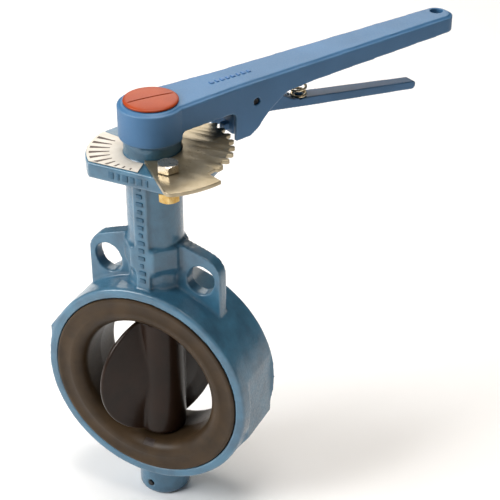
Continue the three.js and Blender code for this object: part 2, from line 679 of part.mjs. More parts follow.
// ---------------------------------------------------------------- trigger (lever frame)
const noseTip = TOOTH_TIP_R + PAWL_GAP;

function triggerProfile() {
  const noseTop = PLATE_T + 1.2;
  const noseFoot = -0.6;
  const cheekFoot = -3;
  const cheekTop = 14;
  const cheek = noseTip + 4.7;
  const tip = hornS + TRIGGER_L;
  return outline([
    [noseTip, noseFoot], [cheek, noseFoot], [cheek, cheekFoot], [cheek + 7.3, cheekFoot, 3],
    [hornS + 17, 7, 5], [hornS + 36, 5.2, 8],
    [hornS + 94.5, -3.4], [tip, -13.6, 3], [tip + 0.5, -7.6, 2.4], [springS - 9, SPRING_SEAT_Z + 2, 4],
    [pivotS + 19.4, PIVOT_Z - 1.3, 8], [pivotS + 2, PIVOT_Z + TRIGGER_EYE_R, 3],
    [pivotS - TRIGGER_EYE_R, PIVOT_Z + 1, 5], [cheek, cheekTop, 3], [cheek, noseTop], [noseTip, noseTop],
  ], 4);
}

function triggerPlan() {
  const half = TRIGGER_W / 2;
  const beyond = hornS + TRIGGER_L + 10;
  return outline([
    [noseTip - 2, -NOSE_W / 2], [noseTip + 4.2, -NOSE_W / 2], [noseTip + 5.2, -half], [springS + 8, -half],
    [beyond, -TRIGGER_TIP_W / 2], [beyond, TRIGGER_TIP_W / 2], [springS + 8, half],
    [noseTip + 5.2, half], [noseTip + 4.2, NOSE_W / 2], [noseTip - 2, NOSE_W / 2],
  ]);
}

function triggerShape() {
  const half = TRIGGER_W / 2;
  const pegR = SPRING_R - SPRING_WIRE - 0.5;
  const pegTop = SPRING_SEAT_Z + SPRING_PEG_L;
  const peg = turned([
    [0, SPRING_SEAT_Z - 2], [pegR, SPRING_SEAT_Z - 2], [pegR, pegTop - 0.8], [pegR - 0.8, pegTop], [0, pegTop],
  ], BOLT_STEPS).translate(springS, 0, 0);
  const seat = drum(SPRING_R + 0.6, SPRING_SEAT_Z, SPRING_SEAT_Z + 12, SHAFT_STEPS).translate(springS, 0, 0);
  const eye = new THREE.CylinderGeometry(TRIGGER_EYE_R, TRIGGER_EYE_R, TRIGGER_W, SHAFT_STEPS);
  return solid(slab(triggerProfile(), -half, half, 0.8))
    .add(solid(eye.translate(pivotS, 0, PIVOT_Z)))
    .intersect(solid(prism(triggerPlan(), -40, 60)))
    .subtract(solid(seat))
    .add(solid(peg))
    .subtract(solid(crossPin(PIVOT_R + RUN_GAP, 30)));
}

function springSleeve() {
  const roof = hubTop - LEVER_ROOF + slope * (springS - SPRING_R - HUB_R) - SEAT_GAP;
  return sleeve(SPRING_R - SPRING_WIRE, SPRING_R, SPRING_SEAT_Z + SEAT_GAP, roof).translate(springS, 0, 0);
}

function oRing(z) {
  const mid = STEM_R + RUN_GAP + BUSH_WALL / 2;
  return new THREE.TorusGeometry(mid, SEAL_WIRE_R, 6, SHAFT_STEPS).translate(0, 0, z);
}

// ---------------------------------------------------------------- assembly
const valve = new THREE.Group();
valve.name = 'butterfly_valve';

const bushR = neckBoreR - SEAT_GAP;
const bushBore = STEM_R + RUN_GAP;
node(valve, 'valve_body', valveBody(), PAINT);
node(valve, 'seat_liner', seatLiner(), RUBBER);
const upperBushFoot = spigotTop - 2 - NECK_BUSH_L;
const lowerBushFoot = RING_R + BUSH_INSET;
const bossBushTop = -(seatR + BUSH_INSET);
node(valve, 'neck_bushing_upper', sleeve(bushBore, bushR, upperBushFoot, upperBushFoot + NECK_BUSH_L), POLYMER);
node(valve, 'neck_bushing_lower', sleeve(bushBore, bushR, lowerBushFoot, lowerBushFoot + NECK_BUSH_L), POLYMER);
node(valve, 'boss_bushing', sleeve(bushBore, bushR, bossBushTop - BOSS_BUSH_L, bossBushTop), POLYMER);
node(valve, 'stem_seal_upper', oRing(upperBushFoot - 4), RUBBER);
node(valve, 'stem_seal_lower', oRing(upperBushFoot - 12), RUBBER);
node(valve, 'boss_lock_pin', lockPin(LOCK_PIN_R - SEAT_GAP, neckBoreR + 0.5, BOSS_R + 0.4), STEEL);
node(valve, 'notch_plate', notchPlate(), ZINC);
node(valve, 'scale_label', scaleLabel(), LABEL_INK);

const boltPlaces = { front: -45, rear: 135 };
for (const [place, angle] of Object.entries(boltPlaces)) {
  const [x, y] = polar(boltCircle, angle);
  node(valve, `plate_bolt_${place}`, boltShape(), ZINC).position.set(x, y, 0);
  node(valve, `plate_nut_${place}`, nutShape(), YELLOW_ZINC).position.set(x, y, 0);
}

const rotor = new THREE.Group();
rotor.rotation.z = rad(LEVER_ANGLE);
valve.add(rotor);
node(rotor, 'disc', disc(), DISC_COAT);
node(rotor, 'upper_stem', upperStem(), STEEL);
node(rotor, 'lower_stem', lowerStem(), STEEL);

const topWorks = new THREE.Group();
topWorks.position.z = FLANGE_TOP;
rotor.add(topWorks);
node(topWorks, 'lever_handle', leverHandle(), PAINT);
node(topWorks, 'lever_washer', leverWasher(), STEEL);
node(topWorks, 'lever_screw', leverScrew(), ZINC);
node(topWorks, 'hub_cap', hubCap(), CAP_PLASTIC);
node(topWorks, 'pivot_pin', crossPin(PIVOT_R, HORN_HALF_W - 1.2), STEEL);
node(topWorks, 'trigger', triggerShape(), PAINT);
node(topWorks, 'trigger_spring', springSleeve(), YELLOW_ZINC);

export default valve;
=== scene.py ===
"""Looks of a lever-operated wafer butterfly valve, pipe size 100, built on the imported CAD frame.

Sizes in the classes are millimetres. The origin is the centre of the bore: +Z runs up the stem and +Y
along the pipe. Pieces of the rotor are shaped in the lever's own frame, with +X along the lever, and turned
into place once.
"""

from __future__ import annotations

import json
import logging
import math
from dataclasses import dataclass, field
from enum import Enum
from typing import Iterable, Optional, Sequence

import bmesh
import bpy
from mathutils import Matrix, Vector, noise

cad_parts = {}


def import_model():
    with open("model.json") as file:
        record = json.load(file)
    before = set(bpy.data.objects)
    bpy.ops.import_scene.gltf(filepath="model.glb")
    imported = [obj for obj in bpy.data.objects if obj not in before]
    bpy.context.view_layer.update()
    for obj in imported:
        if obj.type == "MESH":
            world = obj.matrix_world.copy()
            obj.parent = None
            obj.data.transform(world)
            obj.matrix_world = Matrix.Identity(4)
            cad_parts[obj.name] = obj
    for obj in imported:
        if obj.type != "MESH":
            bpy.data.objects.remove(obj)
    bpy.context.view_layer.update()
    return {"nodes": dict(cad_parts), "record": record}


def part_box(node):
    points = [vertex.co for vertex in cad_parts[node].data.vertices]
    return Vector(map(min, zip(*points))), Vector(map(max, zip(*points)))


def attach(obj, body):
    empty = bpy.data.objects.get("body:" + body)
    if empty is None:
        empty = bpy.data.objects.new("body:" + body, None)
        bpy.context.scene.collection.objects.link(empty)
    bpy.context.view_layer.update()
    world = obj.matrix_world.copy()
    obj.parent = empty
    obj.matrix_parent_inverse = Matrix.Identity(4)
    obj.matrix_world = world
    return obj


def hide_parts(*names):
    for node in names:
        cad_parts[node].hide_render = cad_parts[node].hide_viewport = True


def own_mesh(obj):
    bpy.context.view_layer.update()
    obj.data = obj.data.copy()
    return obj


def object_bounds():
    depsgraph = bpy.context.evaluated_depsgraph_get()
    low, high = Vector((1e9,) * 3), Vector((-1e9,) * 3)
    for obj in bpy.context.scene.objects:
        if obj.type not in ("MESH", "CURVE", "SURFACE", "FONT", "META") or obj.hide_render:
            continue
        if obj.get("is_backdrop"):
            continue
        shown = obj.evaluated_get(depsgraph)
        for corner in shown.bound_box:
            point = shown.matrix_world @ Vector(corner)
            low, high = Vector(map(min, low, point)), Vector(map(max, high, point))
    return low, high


LOG = logging.getLogger("valve")
MM = 0.001
RING_STEPS = 160
CLEAR = 40.0
CRISP = 32.0

Point = tuple[float, float]


class Body(Enum):
    """Bodies of the frame that a piece can ride on."""

    HOUSING = "housing"
    ROTOR = "rotor"
    TRIGGER = "trigger"


class Cut(Enum):
    """Ways of combining one solid with the next."""

    JOIN = "UNION"
    TAKE = "DIFFERENCE"
    KEEP = "INTERSECT"


# ---------------------------------------------------------------- outlines


def polar(radius: float, degrees: float) -> Point:
    """Returns the point at a radius and an angle."""
    return radius * math.cos(math.radians(degrees)), radius * math.sin(math.radians(degrees))


def arc(radius: float, start: float, end: float, steps: int, centre: Point = (0.0, 0.0)) -> list[Point]:
    """Points along a circular arc.

    Args:
        radius: Radius of the arc.
        start: First angle in degrees.
        end: Last angle in degrees.
        steps: Number of chords.
        centre: Centre of the circle.

    Returns:
        The points, both ends included.
    """
    turns = [start + (end - start) * k / steps for k in range(steps + 1)]
    return [(centre[0] + polar(radius, a)[0], centre[1] + polar(radius, a)[1]) for a in turns]


def fillet(corners: Sequence[Sequence[float]], steps: int = 8) -> list[Point]:
    """Rounds the corners of a closed outline.

    Args:
        corners: Corners as (x, y) or (x, y, radius).
        steps: Chords in each rounded corner.

    Returns:
        The points of the outline.
    """
    points: list[Point] = []
    for i, corner in enumerate(corners):
        here = Vector(corner[:2])
        radius = corner[2] if len(corner) > 2 else 0.0
        if not radius:
            points.append((here.x, here.y))
            continue
        before = (Vector(corners[i - 1][:2]) - here).normalized()
        after = (Vector(corners[(i + 1) % len(corners)][:2]) - here).normalized()
        half = before.angle(after) / 2
        start = here + before * (radius / math.tan(half))
        end = here + after * (radius / math.tan(half))
        centre = here + (before + after).normalized() * (radius / math.sin(half))
        first = math.atan2(start.y - centre.y, start.x - centre.x)
        sweep = math.atan2(end.y - centre.y, end.x - centre.x) - first
        sweep -= math.tau * round(sweep / math.tau)
        degrees = math.degrees(first)
        points += arc(radius, degrees, degrees + math.degrees(sweep), steps, (centre.x, centre.y))
    return points


def mirrored(side: Sequence[Point]) -> list[Point]:
    """Closes half an outline with its mirror image across the first axis."""
    return [*side, *[(x, -y) for x, y in reversed(side)]]


# ---------------------------------------------------------------- solids in millimetres


def loft(rings: Sequence[Sequence[Sequence[float]]]) -> bmesh.types.BMesh:
    """Skin over a row of rings, closed at both ends.

    Args:
        rings: Points of each ring, as many in one as in the next.

    Returns:
        A closed mesh.
    """
    shape = bmesh.new()
    rows = [[shape.verts.new(point) for point in ring] for ring in rings]
    shape.faces.new(rows[0][::-1])
    shape.faces.new(rows[-1])
    for here, there in zip(rows, rows[1:]):
        for k in range(len(here)):
            shape.faces.new((here[k - 1], here[k], there[k], there[k - 1]))
    bmesh.ops.recalc_face_normals(shape, faces=shape.faces)
    return shape


def prism(points: Sequence[Point], low: float, high: float) -> bmesh.types.BMesh:
    """Returns an upright prism on an XY outline, from its foot to its top."""
    return loft([[(x, y, z) for x, y in points] for z in (low, high)])


def slab(points: Sequence[Point], near: float, far: float) -> bmesh.types.BMesh:
    """Prism on an XZ outline that runs along Y from near to far."""
    return turned_by(prism(points, -far, -near), Matrix.Rotation(math.pi / 2, 4, "X"))


def revolve(profile: Sequence[Point], steps: int = 96) -> bmesh.types.BMesh:
    """Turned solid about Z.

    Args:
        profile: (radius, z) points. It closes on itself, or on the axis where it starts and ends there.
        steps: Facets round a full turn.

    Returns:
        A closed mesh.
    """
    shape = bmesh.new()
    rings: list[list[bmesh.types.BMVert]] = []
    for radius, z in profile:
        if not radius:
            rings.append([shape.verts.new((0, 0, z))])
        else:
            rings.append([shape.verts.new((*polar(radius, 360 * k / steps), z)) for k in range(steps)])
    for here, there in zip(rings, rings[1:] + rings[:1]):
        for k in range(steps):
            corners = (here[k % len(here)], here[(k + 1) % len(here)],
                       there[(k + 1) % len(there)], there[k % len(there)])
            unique = list(dict.fromkeys(corners))
            if len(unique) > 2:
                shape.faces.new(unique)
    bmesh.ops.recalc_face_normals(shape, faces=shape.faces)
    return shape


def drum(radius: float, low: float, high: float, steps: int = 48,
         at: Point = (0.0, 0.0)) -> bmesh.types.BMesh:
    """Plain upright cylinder for joining and cutting, centred on a point."""
    solid = revolve([(0, low), (radius, low), (radius, high), (0, high)], steps)
    return turned_by(solid, Matrix.Translation((*at, 0)))


def block(size: Sequence[float], centre: Sequence[float], bevel: float = 0.0) -> bmesh.types.BMesh:
    """Box with its edges rounded.

    Args:
        size: Lengths along X, Y and Z.
        centre: Its centre.
        bevel: Radius of its edges.

    Returns:
        A closed mesh.
    """
    shape = bmesh.new()
    bmesh.ops.create_cube(shape, size=1.0, matrix=Matrix.Translation(centre) @ Matrix.Diagonal((*size, 1)))
    if bevel:
        bmesh.ops.bevel(shape, geom=shape.edges, offset=bevel, segments=3, profile=0.5, affect="EDGES")
    return shape


def turned_by(shape: bmesh.types.BMesh, matrix: Matrix) -> bmesh.types.BMesh:
    """Moves a mesh by a matrix and returns it."""
    bmesh.ops.transform(shape, matrix=matrix, verts=shape.verts)
    return shape


def along_y(shape: bmesh.types.BMesh) -> bmesh.types.BMesh:
    """Lays a mesh made about Z along the pipe and returns it."""
    return turned_by(shape, Matrix.Rotation(-math.pi / 2, 4, "X"))


def crosswise(radius: float, half: float, at: Point, steps: int = 32) -> bmesh.types.BMesh:
    """Round bar across the lever, cut or joined at a place in its side view.

    Args:
        radius: Radius of the bar.
        half: Half its length.
        at: Its distance along the lever, and its height.
        steps: Facets round it.

    Returns:
        A closed mesh.
    """
    bar = turned_by(drum(radius, -half, half, steps), Matrix.Rotation(math.pi / 2, 4, "X"))
    return turned_by(bar, Matrix.Translation((at[0], 0, at[1])))


def evaluated(holder: bpy.types.Object) -> bpy.types.Mesh:
    """Returns an object's mesh with its modifiers or bevel carried out."""
    bpy.context.view_layer.update()
    return bpy.data.meshes.new_from_object(holder.evaluated_get(bpy.context.evaluated_depsgraph_get()))


def in_millimetres(mesh: bpy.types.Mesh) -> bmesh.types.BMesh:
    """Takes a finished mesh in metres back to the workbench."""
    shape = bmesh.new()
    shape.from_mesh(mesh)
    bpy.data.meshes.remove(mesh)
    bmesh.ops.scale(shape, vec=(1 / MM,) * 3, verts=shape.verts)
    return shape


def joined(shapes: Iterable[bmesh.types.BMesh]) -> bmesh.types.BMesh:
    """Gathers separate meshes into one."""
    whole = bmesh.new()
    for shape in shapes:
        part = bpy.data.meshes.new("part")
        shape.to_mesh(part)
        shape.free()
        whole.from_mesh(part)
        bpy.data.meshes.remove(part)
    return whole


def make_object(name: str, shape: bmesh.types.BMesh, smooth_angle: float = CRISP) -> bpy.types.Object:
    """Turns a mesh in millimetres into an object in metres.

    Args:
        name: Name of the piece.
        shape: Its mesh, which is used up.
        smooth_angle: Edges sharper than this many degrees stay crisp.

    Returns:
        The object, linked to the scene.
    """
    bmesh.ops.scale(shape, vec=(MM, MM, MM), verts=shape.verts)
    mesh = bpy.data.meshes.new(name)
    shape.to_mesh(mesh)
    shape.free()
    mesh.shade_smooth()
    mesh.set_sharp_from_angle(angle=math.radians(smooth_angle))
    piece = bpy.data.objects.new(name, mesh)
    bpy.context.scene.collection.objects.link(piece)
    return piece


@dataclass
class Workpiece:
    """A piece that is built up by joining and cutting, then finished as a casting or left as machined.

    Attributes:
        name: Name of the piece.
        voxel: Grain of the casting skin in millimetres, or 0 for a piece with crisp faces.
        rounding: How many passes soften its edges.
        waviness: Depth of the hollows that the mould leaves, in millimetres.
        operations: What was done to it, in order.
    """

    name: str
    voxel: float = 0.0
    rounding: int = 4
    waviness: float = 0.0
    operations: list[tuple[Cut, bmesh.types.BMesh]] = field(default_factory=list)

    def add(self, *shapes: bmesh.types.BMesh) -> Workpiece:
        """Joins solids on."""
        self.operations += [(Cut.JOIN, shape) for shape in shapes]
        return self

    def cut(self, *shapes: bmesh.types.BMesh) -> Workpiece:
        """Takes solids away."""
        self.operations += [(Cut.TAKE, shape) for shape in shapes]
        return self

    def trim(self, shape: bmesh.types.BMesh) -> Workpiece:
        """Keeps what lies inside a solid."""
        self.operations.append((Cut.KEEP, shape))
        return self

    def finish(self, place: Optional[Matrix] = None) -> bpy.types.Object:
        """Carries out the operations.

        Args:
            place: Where the piece goes, in millimetres, if not where it was shaped.

        Returns:
            The finished object.
        """
        helpers = [make_object(f"{self.name}_{i}", shape) for i, (_, shape) in enumerate(self.operations)]
        blank = helpers[0]
        for (kind, _), helper in zip(self.operations[1:], helpers[1:]):
            step = blank.modifiers.new("cut", "BOOLEAN")
            step.operation = kind.value
            step.solver = "MANIFOLD"
            step.object = helper
        if self.voxel:
            skin = blank.modifiers.new("skin", "REMESH")
            skin.mode = "VOXEL"
            skin.voxel_size = self.voxel * MM
            soften = blank.modifiers.new("soften", "SMOOTH")
            soften.iterations = self.rounding
        mesh = evaluated(blank)
        for helper in helpers:
            spare = helper.data
            bpy.data.objects.remove(helper)
            bpy.data.meshes.remove(spare)
        mesh.name = self.name
        piece = bpy.data.objects.new(self.name, mesh)
        bpy.context.scene.collection.objects.link(piece)
        mesh.shade_smooth()
        if self.waviness:
            self._ripple(mesh)
        if not self.voxel:
            mesh.set_sharp_from_angle(angle=math.radians(CRISP))
        if place is not None:
            mesh.transform(place)
        return piece

    def _ripple(self, mesh: bpy.types.Mesh) -> None:
        """Sinks shallow hollows into the skin, as sand leaves them.

        Args:
            mesh: The finished mesh, in metres.
        """
        broad_size, fine_size = 11 * MM, 3.2 * MM
        normals = [vertex.normal.copy() for vertex in mesh.vertices]
        for vertex, normal in zip(mesh.vertices, normals):
            broad = noise.noise(vertex.co / broad_size)
            fine = noise.noise(vertex.co / fine_size)
            depth = 0.5 + 0.35 * broad + 0.15 * fine
            vertex.co -= normal * (depth * self.waviness * MM)


# ---------------------------------------------------------------- finishes


def linear(code: str) -> tuple[float, float, float, float]:
    """Turns an sRGB hex colour into linear light.

    Args:
        code: Six hex digits.

    Returns:
        Red, green, blue and an alpha of 1.
    """
    shares = [int(code[i:i + 2], 16) / 255 for i in (0, 2, 4)]
    light = [s / 12.92 if s <= 0.04045 else ((s + 0.055) / 1.055) ** 2.4 for s in shares]
    return light[0], light[1], light[2], 1.0


def add_node(tree: bpy.types.NodeTree, kind: str, inputs: Optional[dict] = None,
             links: Optional[dict] = None, **settings: object) -> bpy.types.Node:
    """Adds a node with its settings and links.

    Args:
        tree: The node tree.
        kind: Type of node.
        inputs: Values by socket name or number.
        links: Sockets to link from, by socket name or number.
        **settings: Attributes of the node.

    Returns:
        The new node.
    """
    node = tree.nodes.new(kind)
    for name, value in settings.items():
        setattr(node, name, value)
    for name, value in (inputs or {}).items():
        node.inputs[name].default_value = value
    for name, source in (links or {}).items():
        tree.links.new(source, node.inputs[name])
    return node


@dataclass(frozen=True)
class Finish:
    """A surface as it was made.

    Attributes:
        name: Common name and how it was made.
        slot: Material slot of the record.
        colour: Main colour, sRGB hex.
        second: Colour that it varies towards.
        roughness: Usual roughness.
        spread: How far the roughness strays from that.
        metallic: 1 for bare metal.
        grain: Size of the fine texture in millimetres.
        patch: Size of the colour patches in millimetres.
        relief: Depth of the fine texture in millimetres.
        stretch: How much longer the grain is along X, Y and Z than it is wide.
        edge: Strength of the painted highlight on convex edges and of the painted shade in hollows.
        coat: Weight of a clear top layer.
        coat_roughness: Roughness of that layer.
        specular: Strength of the bare surface's own shine.
    """

    name: str
    slot: str
    colour: str
    second: str
    roughness: float
    spread: float
    metallic: float
    grain: float
    patch: float
    relief: float
    stretch: tuple[float, float, float] = (1.0, 1.0, 1.0)
    edge: float = 0.0
    coat: float = 0.0
    coat_roughness: float = 0.1
    specular: float = 0.5

    def material(self) -> bpy.types.Material:
        """Returns the material, made on first use."""
        made = bpy.data.materials.get(self.name)
        if made is not None:
            return made
        made = bpy.data.materials.new(self.name)
        made.use_nodes = True
        made.diffuse_color = linear(self.colour)
        tree = made.node_tree
        shader = tree.nodes["Principled BSDF"]
        shader.inputs["Metallic"].default_value = self.metallic
        shader.inputs["Specular IOR Level"].default_value = self.specular
        shader.inputs["Coat Weight"].default_value = self.coat
        shader.inputs["Coat Roughness"].default_value = self.coat_roughness
        self._texture(tree, shader)
        return made

    def _texture(self, tree: bpy.types.NodeTree, shader: bpy.types.Node) -> None:
        """Adds colour patches, painted highlights on convex edges, painted shade in hollows, uneven gloss and
        fine relief.

        Args:
            tree: The material's nodes.
            shader: Its surface shader.
        """
        where = add_node(tree, "ShaderNodeTexCoord")
        laid = add_node(tree, "ShaderNodeMapping", {"Scale": [1 / s for s in self.stretch]},
                        {"Vector": where.outputs["Object"]})
        patches = add_node(tree, "ShaderNodeTexNoise", {"Scale": 1 / (self.patch * MM), "Detail": 4.0},
                           {"Vector": where.outputs["Object"]})
        grain = add_node(tree, "ShaderNodeTexNoise",
                         {"Scale": 1 / (self.grain * MM), "Detail": 3.0, "Roughness": 0.6},
                         {"Vector": laid.outputs["Vector"]})
        blend = add_node(tree, "ShaderNodeMapRange", {"From Min": 0.35, "From Max": 0.68},
                         {"Value": patches.outputs[0]})
        base = add_node(tree, "ShaderNodeMix", {6: linear(self.colour), 7: linear(self.second)},
                        {0: blend.outputs[0]}, data_type="RGBA")
        colour = base.outputs[2]
        # Painted highlight on convex edges and painted shade in hollows.
        if self.edge:
            colour = self._paint_edge_light_and_shade(tree, colour)
        tree.links.new(colour, shader.inputs["Base Color"])
        low, high = self.roughness - self.spread, self.roughness + self.spread
        gloss = add_node(tree, "ShaderNodeMapRange",
                         {"From Min": 0.3, "From Max": 0.7, "To Min": low, "To Max": high},
                         {"Value": grain.outputs[0]})
        tree.links.new(gloss.outputs[0], shader.inputs["Roughness"])
        bump = add_node(tree, "ShaderNodeBump", {"Strength": 1.0, "Distance": self.relief * MM},
                        {"Height": grain.outputs[0]})
        tree.links.new(bump.outputs[0], shader.inputs["Normal"])

    def _paint_edge_light_and_shade(self, tree: bpy.types.NodeTree, colour: bpy.types.NodeSocket) -> bpy.types.NodeSocket:
        """Paints a pale highlight on convex edges and shade in hollows, by how pointed the surface is.

        Args:
            tree: The material's nodes.
            colour: The colour so far.

        Returns:
            The colour with its edges and hollows.
        """
        shape = add_node(tree, "ShaderNodeNewGeometry")
        # Convex edges, found by pointiness, get a painted highlight.
        proud = add_node(tree, "ShaderNodeMapRange", {"From Min": 0.51, "From Max": 0.6, "To Max": self.edge},
                         {"Value": shape.outputs["Pointiness"]})
        # Hollows, found by pointiness, get painted shade.
        hollow_shade_mask = add_node(tree, "ShaderNodeMapRange",
                        {"From Min": 0.49, "From Max": 0.42, "To Max": self.edge},
                        {"Value": shape.outputs["Pointiness"]})
        # Pale blue painted highlight on the edges, then dark blue painted shade in the hollows.
        pale = add_node(tree, "ShaderNodeMix", {7: linear("a9c4d6")},
                        {0: proud.outputs[0], 6: colour}, data_type="RGBA")
        dark = add_node(tree, "ShaderNodeMix", {7: linear("16283a")},
                        {0: hollow_shade_mask.outputs[0], 6: pale.outputs[2]}, data_type="RGBA")
        return dark.outputs[2]


# Alkyd enamel sprayed over sand-cast iron: the sand's grain shows through a soft gloss. Its edge setting
# paints a pale highlight on convex edges and shade in hollows.
BLUE_ENAMEL = Finish("enamel_sprayed_on_cast_iron", "blue_paint", "3b6d88", "2e566e", 0.42, 0.12, 0.0,
                     1.7, 17.0, 0.2, edge=0.34, coat=0.6, coat_roughness=0.12)
# The same enamel over a die-cast lever: smoother, so the faces look flatter and a little brighter. Its edge
# setting paints edge highlights and hollow shade too.
LEVER_ENAMEL = Finish("enamel_sprayed_on_die_casting", "blue_paint", "3b6b95", "346289", 0.46, 0.07, 0.0,
                      0.9, 34.0, 0.05, edge=0.3)
# Compression-moulded nitrile: warm black with a dull bloom and a faint shine where it bends.
LINER_RUBBER = Finish("nitrile_rubber_moulded", "liner_rubber", "423322", "31261a", 0.42, 0.08, 0.0,
                      0.7, 18.0, 0.025, specular=0.2)
# Raised marks coloured darker than the wall: painted shade for the shadows round them.
CAST_MARKS = Finish("enamel_marks_painted_shade", "blue_paint", "335f7a", "2c5268", 0.5, 0.08, 0.0,
                    1.2, 9.0, 0.05)
# The lever's raised marks, a little darker than the lever: painted shade for their shadows.
LEVER_MARKS = Finish("enamel_lever_marks_painted_shade", "blue_paint", "39689a", "345f8c", 0.5, 0.08, 0.0,
                     0.9, 9.0, 0.02)
# Pins coloured near black as painted shade for the dark holes they sit in: small dark dots in the paint, too
# dull to catch the light.
PIN_HOLE_SHADE = Finish("steel_dark_painted_hole_shade", "stem_steel", "151413", "1e1d1c", 0.6, 0.08, 0.0, 0.6, 3.0, 0.01)
# Ring seals, oiled: a dark line with a wet edge.
SEAL_RUBBER = Finish("nitrile_rubber_oiled", "seal_rubber", "1c1b1a", "262423", 0.35, 0.08, 0.0,
                     0.4, 4.0, 0.01)
# Ductile iron dipped in nylon: a thick dark coat that flows over the edges and shines.
DISC_NYLON = Finish("nylon_fluidised_on_cast_disc", "disc_coating", "2a1b12", "20150e", 0.34, 0.06, 0.0,
                    1.6, 22.0, 0.015, coat=0.12, coat_roughness=0.14, specular=0.15)
# Turned stainless bar: fine rings of a tool run round it.
STEM_STEEL = Finish("stainless_steel_turned", "stem_steel", "b4b1aa", "9c9992", 0.3, 0.08, 1.0,
                    0.5, 9.0, 0.01, stretch=(6.0, 6.0, 0.5))
# Pressed steel, zinc plated: a cloudy grey mirror with a warm tint.
ZINC_PLATE = Finish("zinc_plated_pressed_steel", "zinc_plate", "b0a48c", "96896f", 0.33, 0.06, 0.85,
                    0.9, 12.0, 0.01)
# Cold-headed screws, bright zinc: the palest metal, with crisp glints on its flats.
ZINC_BOLT = Finish("zinc_plated_cold_headed", "zinc_bolt", "ddd5c6", "bfb6a5", 0.3, 0.05, 1.0,
                   0.8, 4.0, 0.004)
# Nuts with a yellow passivate that turns gold in the hollows.
YELLOW_ZINC = Finish("yellow_zinc_passivated", "yellow_zinc", "cdb27a", "b18e50", 0.3, 0.08, 1.0,
                     0.8, 4.0, 0.012)
# Drawn spring wire with a thin yellow passivate: bright warm lines on every turn.
SPRING_WIRE = Finish("spring_wire_drawn", "spring_wire", "dccdb0", "c4b08a", 0.3, 0.06, 1.0, 0.5, 5.0, 0.01)
# Injection-moulded cap: orange with a soft shine.
CAP_PLASTIC = Finish("polypropylene_moulded", "cap_plastic", "9f3f14", "933711", 0.42, 0.05, 0.0,
                     0.8, 14.0, 0.012, specular=0.3)
# Vinyl film, satin: the lightest surface, so that the bars read on it.
LABEL_FILM = Finish("vinyl_film_satin", "printed_label", "d2ccc2", "c5beb2", 0.5, 0.06, 0.0, 0.6, 9.0, 0.005)
# Screen-printed ink, brown-black: flat and a little uneven.
LABEL_INK = Finish("ink_screen_printed", "printed_label", "3d2f28", "4a3b32", 0.5, 0.06, 0.0, 0.4, 5.0, 0.003)
# Turned acetal bushings: waxy cream, with faint turning rings.
ACETAL = Finish("acetal_turned", "bearing_polymer", "d9d4c6", "cbc5b4", 0.45, 0.06, 0.0,
                0.6, 7.0, 0.01, stretch=(6.0, 6.0, 0.5))


def dress(piece: bpy.types.Object, finish: Finish, body: Optional[Body] = None,
          replaced: Sequence[str] = ()) -> bpy.types.Object:
    """Gives a piece its finish and its place in the frame.

    Args:
        piece: The piece, or a CAD node that stays in view.
        finish: Its finish.
        body: The body that it rides on; a CAD node rides on its own already.
        replaced: CAD nodes that it stands for.

    Returns:
        The piece.
    """
    slots = piece.data.materials
    if len(slots):
        for i in range(len(slots)):
            slots[i] = finish.material()
    else:
        slots.append(finish.material())
    if body is not None:
        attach(piece, body.value)
    if replaced:
        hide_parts(*replaced)
    LOG.info("%s: %d faces, %s", piece.name, len(piece.data.polygons), finish.name)
    return piece


# ---------------------------------------------------------------- housing


